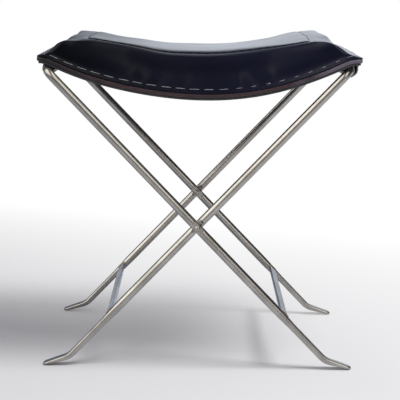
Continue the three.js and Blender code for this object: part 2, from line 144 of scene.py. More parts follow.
class Finish:
    """A node tree that is being written, for a material or for the world."""

    def __init__(self, owner):
        owner.use_nodes = True
        self.owner = owner
        self.tree = owner.node_tree
        self.tree.nodes.clear()

    def node(self, kind, settings=None, sockets=None):
        """A node of that type: its settings first, then a value or a link for each socket."""
        made = self.tree.nodes.new(kind)
        for name, value in (settings or {}).items():
            setattr(made, name, value)
        for name, value in (sockets or {}).items():
            socket = made.inputs[name]
            if isinstance(value, Amount):
                value = value.socket
            if isinstance(value, bpy.types.NodeSocket):
                self.tree.links.new(value, socket)
            else:
                socket.default_value = value
        return made

    def amount(self, kind, settings=None, sockets=None):
        return Amount(self, self.node(kind, settings, sockets).outputs[0])

    def parts(self, place):
        """The three numbers of a place or a direction."""
        node = self.node("ShaderNodeSeparateXYZ", {}, {0: place})
        return [Amount(self, part) for part in node.outputs]

    def rays(self):
        """1 where the camera looks straight at a point, and 1 where it sees it in a gloss."""
        path = self.node("ShaderNodeLightPath").outputs
        seen, mirrored, through = (
            Amount(self, path[f"Is {kind} Ray"]) for kind in ("Camera", "Glossy", "Transmission")
        )
        return seen, mirrored + through

    def between(self, amount, low, high, to_low=0, to_high=1):
        """The amount's low to high, stretched over to_low to to_high and cut off there."""
        places = {"Value": amount, 1: low, 2: high, 3: to_low, 4: to_high}
        return self.amount("ShaderNodeMapRange", {}, places)

    def mix(self, share, first, second):
        sockets = {0: share, 6: first, 7: second}
        return self.node("ShaderNodeMix", {"data_type": "RGBA"}, sockets).outputs[2]

    def noise(self, place, scale, detail=3, roughness=0.5, distortion=0):
        sockets = {
            "Vector": place,
            "Scale": scale,
            "Detail": detail,
            "Roughness": roughness,
            "Distortion": distortion,
        }
        return self.amount("ShaderNodeTexNoise", {}, sockets)

    def place(self, stretch=(1, 1, 1), kind="Object"):
        """Where a point lies on the object, in metres, stretched by a share along each axis."""
        where = self.node("ShaderNodeTexCoord").outputs[kind]
        vectors = {0: where, 1: stretch}
        scaled = self.node("ShaderNodeVectorMath", {"operation": "MULTIPLY"}, vectors)
        return scaled.outputs[0]

    def together(self, x, y):
        return self.node("ShaderNodeCombineXYZ", {}, {0: x, 1: y}).outputs[0]

    def bump(self, height, depth, strength=1, under=None):
        """A normal that looks raised by up to depth, in metres, on top of the one under it."""
        sockets = {"Height": height, "Distance": depth, "Strength": strength}
        if under is not None:
            sockets["Normal"] = under
        return self.node("ShaderNodeBump", {}, sockets).outputs[0]

    def surface(self, sockets):
        shader = self.node("ShaderNodeBsdfPrincipled", {}, sockets)
        self.node("ShaderNodeOutputMaterial", {}, {"Surface": shader.outputs[0]})
        return self.owner


def new_finish(name):
    return Finish(bpy.data.materials.new(name))


print("node helpers ready")

# %% [markdown]
# ## The studio
#
# The stool stands on a pale floor that runs up into white. A real studio does this with a paper
# sweep; here the floor is one big sheet whose colour fades to white with distance, but only for
# the camera and for reflections. The floor's own shading stays, so it keeps the stool's shadow.
#
# Two soft boxes and an even room light the stool. What black leather and steel show is hardly
# that light, but the room that they mirror. It could be built from panels. Here it is drawn on
# the world instead, and only reflections see it: a white wall behind the stool that gets darker
# to the left, a dark room in front, two bright panels in front at the sides, and a dark flag
# behind at the right. The wall gives the seat its pale top, and the dark front its black face.

# %% The room that gloss mirrors
wall_at_right, wall_at_left = (0.94, 1.0, 1.1, 1), (0.2, 0.23, 0.3, 1)
front_at_right, front_at_left = (0.14, 0.14, 0.15, 1), (0.045, 0.045, 0.05, 1)
panel_white, flag_black = (2.3, 2.2, 2.0, 1), (0.05, 0.05, 0.055, 1)
light_from_back, light_from_front = (0.42, 0.42, 0.44, 1), (0.34, 0.34, 0.36, 1)
background_white = (1, 1, 1, 1)


def mirrored_room(room, side, depth, height, back):
    """The colour that a reflection finds to the right, to the back and upwards by so much."""
    left = room.between(side, 0.3, -0.25) * room.between(height, -0.35, -0.1)
    front = room.mix(left, front_at_right, front_at_left)
    wall = room.mix(room.between(side, 0.0, -0.2), wall_at_right, wall_at_left)
    flag = room.between(side, 0.22, 0.42) * room.between(depth, 0.98, 0.86)
    panel = room.between(side.absolute(), 0.14, 0.36) * room.between(side, 0.74, 0.54)
    panel = panel * room.between(height, 0.12, 0.3) * room.between(depth, 0.25, 0.05)
    without_panels = room.mix(flag, room.mix(back, front, wall), flag_black)
    return room.mix(panel, without_panels, panel_white)


def light_room():
    world = bpy.data.worlds.new("room")
    bpy.context.scene.world = world
    room = Finish(world)
    side, depth, height = room.parts(room.node("ShaderNodeTexCoord").outputs["Generated"])
    back = room.between(depth, 0.1, 0.8)
    seen, in_gloss = room.rays()
    lighting = room.mix(back, light_from_front, light_from_back)
    looked_at = room.mix(in_gloss, lighting, mirrored_room(room, side, depth, height, back))
    color = room.mix(seen, looked_at, background_white)
    background = room.node("ShaderNodeBackground", {}, {"Color": color})
    room.node("ShaderNodeOutputWorld", {}, {"Surface": background.outputs[0]})


light_room()
print("room drawn on:", bpy.context.scene.world.name)

# %% The soft boxes
def soft_box(name, place, target, width, depth, power, color=(1, 1, 1)):
    """A rectangular lamp that faces its target and isn't mirrored itself. Metres and watts."""
    data = bpy.data.lights.new(name, "AREA")
    data.shape = "RECTANGLE"
    data.size, data.size_y = width, depth
    data.energy = power
    data.color = color
    lamp = bpy.data.objects.new(name, data)
    from_target = np.array(place) - np.array(target)
    lamp.location = place
    lamp.rotation_mode = "QUATERNION"
    lamp.rotation_quaternion = Vector(from_target.tolist()).to_track_quat("Z", "Y")
    lamp.visible_glossy = False
    bpy.context.scene.collection.objects.link(lamp)
    return lamp


key_box = soft_box("key_box", (0.85, -0.5, 2.2), (0, 0, 0.1), 0.9, 0.9, 34)
front_box = soft_box("front_box", (0.0, -1.9, 1.7), (0, 0, 0.25), 4.6, 0.5, 5, (1, 0.97, 0.92))
bpy.context.scene.view_settings.view_transform = "Standard"
print("lamps:", key_box.name, front_box.name)

# %% The floor
floor_half = 30
fade_start, fade_end, fade_slant = -0.1, 0.95, 0.5
mirror_start, mirror_end = 0.7, 2.0
paper_color = (0.84, 0.84, 0.85, 1)


def sweep_paper():
    """Matte paper that turns white with distance, sooner at the right than at the left."""
    paper = new_finish("pale_floor")
    across, depth, _ = paper.parts(paper.place())
    seen, in_gloss = paper.rays()
    white_to_eye = paper.between(depth + across * fade_slant, fade_start, fade_end)
    white_in_steel = paper.between(depth, mirror_start, mirror_end)
    share = seen * white_to_eye + in_gloss * white_in_steel
    matte = paper.node("ShaderNodeBsdfDiffuse", {}, {"Color": paper_color})
    white = paper.node("ShaderNodeEmission", {}, {"Color": background_white, "Strength": 1})
    sockets = {0: share, 1: matte.outputs[0], 2: white.outputs[0]}
    mixed = paper.node("ShaderNodeMixShader", {}, sockets)
    paper.node("ShaderNodeOutputMaterial", {}, {"Surface": mixed.outputs[0]})
    return paper.owner


def lay_floor():
    mesh = bpy.data.meshes.new("floor")
    signs = ((-1, -1), (1, -1), (1, 1), (-1, 1))
    corners = [(x * floor_half, y * floor_half, 0) for x, y in signs]
    mesh.from_pydata(corners, [], [(0, 1, 2, 3)])
    floor = bpy.data.objects.new("floor", mesh)
    bpy.context.scene.collection.objects.link(floor)
    mesh.materials.append(sweep_paper())
    return floor


floor = lay_floor()
print("floor:", floor.dimensions[:])

# %% [markdown]
# ## The steel
#
# The bars are plain round steel with a satin, hand-rubbed face: warm grey, with darker patches
# where it was handled or heated. The flat stretchers get a darker, bluer steel: a painted
# reflection of the shaded floor beneath them. The rivets are rough from the hammer. Steel is nearly
# all reflection, so the finish is metallic, and what tells the steels apart is two tones and how
# rough they are. Rubbing leaves fine lines that follow the bar round its bends, so their noise is
# stretched along the bar's own map. They stay shallow and only touch the roughness: strong fine
# noise breaks a highlight into dots.

# %% Steel finishes
lines_round, lines_along = 500, 9
wave_depth = 0.00005


def satin_steel(name, base, worn, rough):
    """A steel of two tones, with that roughness."""
    steel = new_finish(name)
    lines = steel.noise(steel.place((lines_round, lines_along, 1), "UV"), 1, 2)
    patches = steel.noise(steel.place(), 30, 2)
    specks = steel.noise(steel.place(), 240, 1)
    waves = steel.noise(steel.place(), 60, 1)
    tone = steel.between(patches * 0.8 + specks * 0.2, 0.36, 0.66)
    return steel.surface({
        "Base Color": steel.mix(tone, (*base, 1), (*worn, 1)),
        "Metallic": 1,
        "Roughness": rough + (patches - 0.5) * 0.1 + (lines - 0.5) * 0.03,
        "Normal": steel.bump(waves, wave_depth, 0.15),
    })


bar_steel = satin_steel("satin_steel", (0.44, 0.425, 0.405), (0.33, 0.315, 0.295), 0.27)
# painted reflection: the stretchers' steel is darker and bluer than the bars', for the shaded floor
# under them
flat_steel = satin_steel("flat_steel_painted_reflection", (0.37, 0.40, 0.45), (0.27, 0.29, 0.33), 0.3)
rivet_steel = satin_steel("hammered_steel", (0.40, 0.38, 0.36), (0.27, 0.25, 0.23), 0.36)
braze = satin_steel("braze", (0.50, 0.40, 0.29), (0.33, 0.25, 0.18), 0.45)
print("steels:", [steel.name for steel in (bar_steel, flat_steel, rivet_steel, braze)])

# %% [markdown]
# ## Making meshes from rings
#
# Bars, feet, rivets and leather edges are all drawn the same way: a row of rings, each with the
# same number of points, joined by quads. Blender's curve objects can sweep one profile along a
# path, but a forged foot changes its profile as it goes, and rings allow that. Smooth shading
# hides the quads, and edges sharper than a set angle stay crisp.

# %% An object from points
def new_object(name, points, faces, finishes, slots=None, sharp=35):
    """A mesh object from points in millimetres. Edges over sharp degrees stay crisp."""
    mesh = bpy.data.meshes.new(name)
    mesh.from_pydata((np.asarray(points, float) * MM).tolist(), [], [tuple(f) for f in faces])
    for finish in finishes:
        mesh.materials.append(finish)
    if slots is not None:
        mesh.polygons.foreach_set("material_index", slots)
    mesh.validate()
    shell = bmesh.new()
    shell.from_mesh(mesh)
    bmesh.ops.recalc_face_normals(shell, faces=shell.faces)
    shell.to_mesh(mesh)
    shell.free()
    mesh.shade_smooth()
    mesh.set_sharp_from_angle(angle=math.radians(sharp))
    made = bpy.data.objects.new(name, mesh)
    bpy.context.scene.collection.objects.link(made)
    return made


print("objects are drawn in millimetres, and", 1 / MM, "of them make a metre")

# %% Rings
bar_round = 0.04


def join_rings(rings, caps=True):
    """Points and quads through the rings, with a cap on the first and the last."""
    count = len(rings[0])
    points = np.concatenate(rings)
    faces = []
    for low in range(0, len(points) - count, count):
        high = low + count
        for i in range(count):
            j = (i + 1) % count
            faces.append((low + i, low + j, high + j, high + i))
    if caps:
        faces.append(tuple(range(count - 1, -1, -1)))
        faces.append(tuple(range(len(points) - count, len(points))))
    return points, faces


def map_rings(made, count, lengths):
    """A map for a swept bar, in metres: the first number is round it, the second along it."""
    mesh = made.data
    layer = mesh.uv_layers.new(name="along_bar")
    for polygon in mesh.polygons:
        rounds = [mesh.loops[i].vertex_index % count for i in polygon.loop_indices]
        wraps = max(rounds) - min(rounds) > count / 2
        for loop, place in zip(polygon.loop_indices, rounds):
            ring = mesh.loops[loop].vertex_index // count
            turn = place + (count if wraps and place < count / 2 else 0)
            layer.data[loop].uv = (turn / count * bar_round, lengths[ring] * MM)


print("once round a bar is", bar_round * 1000, "mm on its map")

# %% [markdown]
# ## One frame, one bar
#
# Each frame is a single bar. It starts as a flat foot, turns up into the leg, passes the rivet,
# bends into the seat rail, and comes down again as the other leg. The two frames are the same
# part, the second turned half way round, as a workshop would make them. The legs, which are
# solids of their own, could be dressed one by one, but then a seam would show at each bend. So the
# bar is swept as one mesh: a ring is round where the bar is round, and a rounded rectangle where
# it is forged. The rings stand close together at the flats that are ground for the rivet.

# %% The sizes of a frame
bar_radius = 6.35
pivot_height = 210
leg_lean = math.radians(43.7)
pivot_to_rail = 312
front_leg_y, rear_leg_y = -162.3, 148.0
rail_bend_radius = 14
forge_start_height, forge_end_height = 96, 58
shank_thickness, shank_width = 9.5, 13.6
foot_bend_radius = 28
kick_slope = math.radians(16.5)
kick_length = 40.5
heel_thickness, foot_width, toe_thickness, toe_length = 8.0, 16.0, 5.2, 6.0
toe_tip_height = 1.793
tip_narrowing, tip_thinning = (0.82, 2.4), (0.86, 2.6)
bar_sides = 40
straight_part = [
    60, 30, 12, 10.5, 9.5, 8, 4, 0, -4, -8, -9.5, -10.5, -12, -30, -90, -150, -210, -260,
]

down = np.array([math.sin(leg_lean), 0, -math.cos(leg_lean)])
outward = np.array([math.cos(leg_lean), 0, math.sin(leg_lean)])
sideways = np.array([0.0, 1.0, 0.0])
pivot = np.array([0.0, 0.0, pivot_height])


def leg_point(distance, y):
    """A place on a leg's middle line, that far below the rivet."""
    return pivot + down * distance + sideways * y


def at_height(height):
    """How far below the rivet a leg is at that height above the floor."""
    return (pivot_height - height) / math.cos(leg_lean)


def bar_ring(middle, along, out, thick, wide, squareness):
    """A ring round the bar: 2 is round, and a higher squareness is a rounded rectangle."""
    def bulge(value):
        return np.sign(value) * np.abs(value) ** (2 / squareness)

    turn = np.linspace(0, 2 * np.pi, bar_sides, endpoint=False)
    across = np.outer(bulge(np.cos(turn)) * thick / 2, out)
    return middle + across + np.outer(bulge(np.sin(turn)) * wide / 2, np.cross(along, out))


def ease(share):
    """A share from 0 to 1 that starts and stops gently."""
    return share * share * (3 - 2 * share)


print("leg leans", round(math.degrees(leg_lean), 1), "degrees")

# %% The rings of one leg, from the toe up to the rail
def turned(vector, angle):
    """A direction turned about the Y axis."""
    x, y, z = vector
    return np.array([
        x * math.cos(angle) + z * math.sin(angle),
        y,
        z * math.cos(angle) - x * math.sin(angle),
    ])


def left_at_tip(share, loss, power):
    """What is left of a toe's size on its way to the tip: it falls off like an ellipse."""
    return math.sqrt(1 - loss * share**power)


def foot_rings(y):
    """From the toe's tip, along the flat foot and round its bend, up to the shank."""
    kick = np.array([math.cos(kick_slope), 0, -math.sin(kick_slope)])
    kick_up = np.array([math.sin(kick_slope), 0, math.cos(kick_slope)])
    corner_height = toe_tip_height + kick_length * math.sin(kick_slope)
    corner = leg_point(at_height(corner_height), y)
    turn = math.pi / 2 - leg_lean - kick_slope
    start = corner - down * foot_bend_radius * math.tan(turn / 2)
    middle = start + outward * foot_bend_radius
    rings = []
    for share in np.linspace(0, 1, 9):
        out = turned(outward, -turn * share)
        along = turned(down, -turn * share)
        thick = shank_thickness + (heel_thickness - shank_thickness) * share
        wide = shank_width + (foot_width - shank_width) * share
        rings.append(bar_ring(middle - out * foot_bend_radius, along, out, thick, wide, 4))
    straight = kick_length - toe_length
    bend = foot_bend_radius * math.tan(turn / 2)
    for share in (0.25, 0.5, 0.75):
        reach = bend + (straight - bend) * share
        thick = heel_thickness + (toe_thickness - heel_thickness) * share
        rings.append(bar_ring(corner + kick * reach, kick, kick_up, thick, foot_width, 3.6))
    for share in (0, 0.3, 0.55, 0.75, 0.88, 0.96, 1):
        middle = corner + kick * (straight + toe_length * share)
        thick = toe_thickness * left_at_tip(share, *tip_thinning)
        wide = foot_width * left_at_tip(share, *tip_narrowing)
        rings.append(bar_ring(middle, kick, kick_up, thick, wide, 3))
    rings = rings[::-1]
    for ring in rings:
        ring[:, 2] = np.maximum(ring[:, 2], 0)
    return rings


def leg_rings(y, side):
    """From the toe to the rail. The rail lies towards side, which is 1 or -1 along Y."""
    rings = foot_rings(y)
    low, high = at_height(forge_end_height), at_height(forge_start_height)
    for share in np.linspace(0, 1, 12):
        shape = ease(1 - share)
        thick = 2 * bar_radius + (shank_thickness - 2 * bar_radius) * shape
        wide = 2 * bar_radius + (shank_width - 2 * bar_radius) * shape
        middle = leg_point(low + (high - low) * share, y)
        rings.append(bar_ring(middle, down, outward, thick, wide, 2 + 2 * shape))
    bar = 2 * bar_radius
    for distance in straight_part:
        rings.append(bar_ring(leg_point(distance, y), down, outward, bar, bar, 2))
    to_rail = sideways * side
    bend_middle = leg_point(-pivot_to_rail + rail_bend_radius, y) + to_rail * rail_bend_radius
    for share in np.linspace(0, 1, 12):
        turn = math.pi / 2 * share
        middle = bend_middle - rail_bend_radius * (to_rail * math.cos(turn) + down * math.sin(turn))
        along = down * math.cos(turn) - to_rail * math.sin(turn)
        rings.append(bar_ring(middle, along, outward, bar, bar, 2))
    return rings


print("a foot has", len(foot_rings(0)), "rings, and a leg", len(leg_rings(0, 1)))

# %% The whole bar
flat_half, front_flat, rear_flat = 10, 1.6, 0.8


def grind_flats(rings, y):
    """The bar is ground flat where the other frame lies against it and under the rivet's head."""
    for ring in rings:
        near = np.abs((ring - pivot) @ down) < flat_half
        low, high = y - bar_radius + front_flat, y + bar_radius - rear_flat
        ring[near, 1] = np.clip(ring[near, 1], low, high)


def turned_round(rings):
    """Frame b's rings from frame a's."""
    return [ring * (-1, -1, 1) for ring in rings]


def frame_bar(letter):
    front, rear = leg_rings(front_leg_y, 1), leg_rings(rear_leg_y, -1)
    grind_flats(front, front_leg_y)
    grind_flats(rear, rear_leg_y)
    mirror_back = [np.roll(ring[::-1], 1, axis=0) for ring in rear[::-1]]
    first, last = front[-1], mirror_back[0]
    rail = [first + (last - first) * share for share in np.linspace(0, 1, 9)[1:-1]]
    rings = front + rail + mirror_back
    if letter == "b":
        rings = turned_round(rings)
    middles = np.array([ring.mean(axis=0) for ring in rings])
    lengths = np.concatenate([[0], np.cumsum(np.linalg.norm(np.diff(middles, axis=0), axis=1))])
    points, faces = join_rings(rings)
    made = new_object(f"frame_{letter}_bar", points, faces, [bar_steel], sharp=50)
    map_rings(made, bar_sides, lengths)
    body = f"frame_{letter}"
    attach(made, body)
    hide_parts(f"{body}_front_leg", f"{body}_rear_leg", f"{body}_seat_rail")
    print(made.name, len(rings), "rings,", round(lengths[-1]), "mm of bar")


for letter in "ab":
    frame_bar(letter)

# %% [markdown]
# ## Stretchers and rivets
#
# A flat bar is brazed between the two legs of each frame, a hand's width above the floor. Its
# edges are eased with a file, and a thin line of braze fills the corner at each end. The rivets
# are turned rods with one rounded head each, closed with a hammer at the other end. A lathe shape
# is right for both heads: a profile turned about the rivet's line. The washers are plain solids
# already, so they only get the rivets' steel.

# %% Stretchers with their braze
stretcher_height, stretcher_width, stretcher_thickness = 78.5, 12.7, 4.8
stretcher_middle = leg_point(at_height(stretcher_height), 0) + outward * stretcher_thickness / 2
into_leg = 3.2
bead_start, bead_length, bead_size, bead_wobble = 0.72 * bar_radius, 3.2, 1.5, 0.05


def stretcher(letter):
    places = np.linspace(front_leg_y + into_leg, rear_leg_y - into_leg, 25)
    rings = []
    for y in places:
        at = stretcher_middle + sideways * y
        rings.append(bar_ring(at, sideways, outward, stretcher_thickness, stretcher_width, 9))
    if letter == "b":
        rings = turned_round(rings)
    points, faces = join_rings(rings)
    made = new_object(f"frame_{letter}_stretcher_bar", points, faces, [flat_steel])
    map_rings(made, bar_sides, places - places[0])
    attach(made, f"frame_{letter}")
    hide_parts(f"frame_{letter}_stretcher")


def braze_line(letter, end, y, side):
    """A thin, uneven bead round the stretcher where it meets the leg."""
    rng = np.random.default_rng(5)
    shares = np.linspace(0, 1, 8)
    rings = []
    for share in shares:
        grow = bead_size * (1 - ease(share)) ** 1.5 + 0.05
        at = stretcher_middle + sideways * (y + side * (bead_start + bead_length * share))
        thick, wide = stretcher_thickness + 2 * grow, stretcher_width + 1.6 * grow
        ring = bar_ring(at, sideways, outward, thick, wide, 5)
        wobble = 1 + bead_wobble * rng.standard_normal(bar_sides)[:, None] * (1 - share)
        rings.append(at + (ring - at) * wobble)
    if letter == "b":
        rings = turned_round(rings)
    points, faces = join_rings(rings)
    made = new_object(f"frame_{letter}_braze_{end}", points, faces, [braze])
    map_rings(made, bar_sides, shares * 3)
    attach(made, f"frame_{letter}")


for letter in "ab":
    stretcher(letter)
    braze_line(letter, "front", front_leg_y, 1)
    braze_line(letter, "rear", rear_leg_y, -1)
print("stretchers:", round(rear_leg_y - front_leg_y - 2 * into_leg), "mm long")

# %% Rivets
rivet_sides = 40
frame_offset, rivet_gap, burr_thickness = 14.3, 0.3, 1.2
head_radius, head_height, shank_radius, tail_radius, tail_height = 4.5, 3, 3, 4, 2.2
head_y = front_leg_y - (bar_radius - front_flat) - 0.05
burr_y = front_leg_y + frame_offset + (bar_radius - front_flat) + rivet_gap
tail_y = burr_y + burr_thickness + rivet_gap


def turned_piece(profile):
    """Rings of a profile, (radius, y), turned about the rivets' line."""
    turn = np.linspace(0, 2 * np.pi, rivet_sides, endpoint=False)
    return [
        np.stack([r * np.cos(turn), np.full(rivet_sides, y), pivot_height + r * np.sin(turn)], 1)
        for r, y in profile
    ]


def hammer(rings, seed, depth):
    """Small dents over a head, as the sum of a few waves."""
    rng = np.random.default_rng(seed)
    waves = [(rng.normal(0, 0.7, 3), rng.uniform(0, 6.28)) for _ in range(6)]
    for ring in rings:
        for direction, start in waves:
            ring[:, 1] += depth * np.sin(ring @ direction + start)


def rivet(place):
    arc = np.linspace(0.02, 1, 12) * np.pi / 2
    head = [(head_radius * math.sin(a), head_y - head_height * math.cos(a)) for a in arc]
    tail = [(tail_radius * math.sin(a), tail_y + tail_height * math.cos(a)) for a in arc[::-1]]
    shank = [(shank_radius, head_y), (shank_radius, tail_y)]
    rings = turned_piece(head + shank + tail)
    hammer(rings[:9], 3, 0.06)
    hammer(rings[-9:], 4, 0.12)
    if place == "rear":
        rings = turned_round(rings)
    points, faces = join_rings(rings)
    made = new_object(f"rivet_{place}_hammered", points, faces, [rivet_steel])
    map_rings(made, rivet_sides, np.arange(len(rings)))
    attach(made, "frame_a")
    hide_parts(f"rivet_{place}")


for place in ("front", "rear"):
    rivet(place)
    for washer in ("pivot_spacer", "rivet_burr"):
        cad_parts[f"{washer}_{place}"].material_slots[0].material = rivet_steel
print("rivets:", round(tail_y + tail_height - head_y + head_height, 1), "mm from head to tail")

# %% [markdown]
# ## The seat's curve
#
# Every leather of the seat follows one line: a shallow arc that hangs between the rails, and past
# each rail a short stretch that bends over and hangs free. A point of the seat is given by how
# far it lies along that line, how far to the front or rear, and how high above it. Bending flat
# leathers afterwards, with a curve modifier, would also do, but working in these three numbers
# keeps them the same distance apart everywhere. The seat of the photograph has settled to one
# side, so the arc is shifted and tilted a little.

# %% Points on the seat
rail_reach = bar_radius + 0.3
seat_low_point = 393.5
rail_x = pivot_to_rail * math.sin(leg_lean)
rail_z = pivot_height + pivot_to_rail * math.cos(leg_lean)
low_to_rail = rail_z - seat_low_point + rail_reach
centre_above_rail = (rail_x**2 - low_to_rail**2) / (2 * low_to_rail)
sag_radius = centre_above_rail + low_to_rail - rail_reach
sag_centre = rail_z + centre_above_rail
rail_angle = math.atan2(rail_x, centre_above_rail)
rail_arc = sag_radius * rail_angle
overhang_radius = 32
seat_shift, seat_tilt, tilted_share = 1.4, 5.0, 0.9


def seat_point(along, y, height):
    """Points in millimetres, from arrays of the three seat numbers."""
    along, y, height = np.broadcast_arrays(np.asarray(along, float), y, height)
    along = along + seat_shift
    far = np.abs(along)
    angle = np.minimum(far, rail_arc) / sag_radius
    past = np.maximum(far - rail_arc, 0)
    slope = rail_angle - past / overhang_radius
    hanging = past > 0
    radius = sag_radius - np.where(hanging, 0, height)
    x = radius * np.sin(angle)
    z = sag_centre - radius * np.cos(angle)
    reach = overhang_radius + height
    x = x + np.where(hanging, overhang_radius * math.sin(rail_angle) - reach * np.sin(slope), 0)
    z = z + np.where(hanging, reach * np.cos(slope) - overhang_radius * math.cos(rail_angle), 0)
    share = np.clip(along / rail_arc / tilted_share, -1, 1)
    z = z - seat_tilt * share * (1 - share**2) ** 2
    return np.stack([np.sign(along) * x, y * np.ones_like(x), z], axis=-1)


sling_thickness, sole_thickness, gap = 3.0, 5.5, 0.3
sole_bottom = sling_thickness + gap
sole_top = sole_bottom + sole_thickness
cover_lip = sole_top + gap + 2
sole_half_length, sole_half_width = 238.6, 155.0
print("seat arc:", round(2 * rail_arc), "mm between the rails, radius", round(sag_radius))

# %% [markdown]
# ## Rings round the seat
#
# The sling, the sole and the cover all have the same outline, a rectangle with small rounded
# corners, only more or less set in from the edge. So one helper lays out the places round such an
# outline once, and every leather is a stack of rings through those places. The inside of the last
# ring is filled with a grid that starts and ends on the ring's own points, which keeps the faces
# even and free of the star of thin triangles that a plain fill would make.

# %% Places round the outline
long_cells, short_cells, corner_cells = 84, 56, 4
station_count = 2 * (long_cells + short_cells)


def side_places(cells):
    """From one corner's middle to the next: place along the side, and the turn at its corners."""
    straight = cells - 2 * corner_cells
    turn = np.linspace(-np.pi / 4, 0, corner_cells + 1)[:-1]
    even = np.linspace(-1, 1, straight + 1)
    closer_at_corners = -np.cos(np.linspace(0, np.pi, straight + 1))
    place = closer_at_corners * 0.25 + even * 0.75
    places = np.concatenate([-np.ones(corner_cells), place, np.ones(corner_cells)])
    turns = np.concatenate([turn, np.zeros(straight + 1), -turn[::-1]])
    return places[:-1], turns[:-1]


def lay_out_stations():
    """Rows of a place on a square, the way out of it there, and its share of an end's belly."""
    parts = []
    for quarter, cells in enumerate((long_cells, short_cells, long_cells, short_cells)):
        place, turn = side_places(cells)
        heading = quarter * np.pi / 2
        forth = (math.cos(heading), math.sin(heading))
        outwards = (math.sin(heading), -math.cos(heading))
        centre = [place * forth[a] + outwards[a] for a in (0, 1)]
        out = [outwards[a] * np.cos(turn) + forth[a] * np.sin(turn) for a in (0, 1)]
        on_end = quarter % 2 == 1
        belly = (1 - np.minimum(place**2, 1)) * (turn == 0) * on_end
        parts.append(np.stack([*centre, *out, belly], axis=1))
    return np.concatenate(parts)


stations = lay_out_stations()
print(len(stations), "places round the seat")

# %% Rings and filled grids, in the seat's three numbers
end_belly = 12.0


def seat_ring(front, end, front_height, end_height, corner, belly=0.0):
    """One ring, set in from the front and the end: columns are along, y and height."""
    centre_x, centre_y, out_x, out_y, belly_share = stations.T
    half_width = sole_half_width - front
    half_length = sole_half_length - end - belly
    along = centre_x * (half_length - corner) + out_x * corner
    along = along + np.sign(out_x) * belly * belly_share
    y = centre_y * (half_width - corner) + out_y * corner
    level = front_height + (end_height - front_height) * out_x**2
    return np.stack([along, y, level], axis=1)


def fill_inside(ring):
    """A grid of places inside a ring, which meets the ring's own points at its border."""
    around = np.concatenate([ring, ring[:1]])
    front = around[: long_cells + 1]
    right = around[long_cells : long_cells + short_cells + 1]
    rear = around[long_cells + short_cells : 2 * long_cells + short_cells + 1][::-1]
    left = around[2 * long_cells + short_cells :][::-1]
    u = np.linspace(0, 1, long_cells + 1)[:, None, None]
    v = np.linspace(0, 1, short_cells + 1)[None, :, None]
    across = front[:, None] * (1 - v) + rear[:, None] * v
    along = left[None, :] * (1 - u) + right[None, :] * u
    corners = (
        front[0] * (1 - u) * (1 - v)
        + front[-1] * u * (1 - v)
        + rear[0] * (1 - u) * v
        + rear[-1] * u * v
    )
    return across + along - corners


def grid_faces(first_ring, first_inside, flip):
    """Quads of a filled grid. Its border points are those of the ring that it fills."""

    def index(i, j):
        if j == 0:
            return first_ring + i
        if i == long_cells:
            return first_ring + long_cells + j
        if j == short_cells:
            return first_ring + 2 * long_cells + short_cells - i
        if i == 0:
            return first_ring + (2 * (long_cells + short_cells) - j) % station_count
        return first_inside + (i - 1) * (short_cells - 1) + j - 1

    faces = []
    for i in range(long_cells):
        for j in range(short_cells):
            quad = (index(i, j), index(i + 1, j), index(i + 1, j + 1), index(i, j + 1))
            faces.append(quad[::-1] if flip else quad)
    return faces


def leather_solid(name, rings, finish, shape=None):
    """A closed leather: rings from its underside up to its top, both filled with a grid."""
    bottom = fill_inside(rings[0])[1:-1, 1:-1].reshape(-1, 3)
    top = fill_inside(rings[-1])[1:-1, 1:-1].reshape(-1, 3)
    places = np.concatenate([*rings, bottom, top])
    if shape is not None:
        places = shape(places)
    points = seat_point(*places.T)
    _, faces = join_rings(rings, caps=False)
    ring_points = len(rings) * station_count
    faces += grid_faces(0, ring_points, True)
    faces += grid_faces(ring_points - station_count, ring_points + len(bottom), False)
    return new_object(name, points, faces, [finish], sharp=50)


print("a filled ring has", (long_cells - 1) * (short_cells - 1), "inner places")

# %% [markdown]
# ## Leather that rides on the seat
#
# When the frames close, the real seat doubles up between the rails. Here each leather of the seat
# is hung on the seat's body and given a mesh of its own.


def ride_on_seat(piece):
    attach(piece, "seat")
    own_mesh(piece)
    return piece


# %% [markdown]
# ## The cover's leather
#
# The cover is fine black hide with a polish. Its colour is nearly black, and it is painted lighter
# and bluer towards the right, where the light falls: a painted light, broken a little by noise.
# There it is also glossier and a little dusty, and since the dust shows only on that lit side, it
# is partly a painted sheen. The light on it comes from a thin glossy coat. Grain could be an image,
# but noise keeps its real size everywhere and has no seams. Four heights are stacked, from wide to
# fine: the drape of the whole hide, creases, the gathers beside the top seam, and the pores.

# %% Cover leather
# painted shade and painted light: the cover runs from the first colour at the left to the second at
# the right; the grey below is dust with a painted sheen
black_in_painted_shade, blue_in_painted_light = (0.0007, 0.0009, 0.0026, 1), (0.0044, 0.0048, 0.0165, 1)
dust_and_sheen_grey = (0.009, 0.009, 0.016, 1)
gathered_width = 0.009
drape_depth, crease_depth, gather_depth, pore_depth = 0.004, 0.0006, 0.0009, 0.00012


def cover_height(leather, place, pores):
    """The leather's normal. The map's second number is the distance from the top seam."""
    cells = {"Vector": place, "Scale": 850, "Smoothness": 0.6}
    grain = leather.amount("ShaderNodeTexVoronoi", {"feature": "SMOOTH_F1"}, cells)
    creases = leather.noise(leather.place((1, 1.6, 1.2)), 55, 5, 0.55, 0.8)
    drape = leather.noise(leather.place((0.7, 1, 1.4)), 9, 3, 0.45, 0.3)
    around, away, _ = leather.parts(leather.place(kind="UV"))
    near_seam = leather.between(away.absolute(), 0.0, gathered_width, 1, 0)
    gathers = leather.noise(leather.together(around * 240, away * 70), 1, 1)
    draped = leather.bump(drape, drape_depth, 0.12)
    creased = leather.bump(creases, crease_depth, 0.2, draped)
    gathered = leather.bump(gathers * near_seam, gather_depth, 0.6, creased)
    return leather.bump(grain + pores * 0.4, pore_depth, 0.35, gathered)


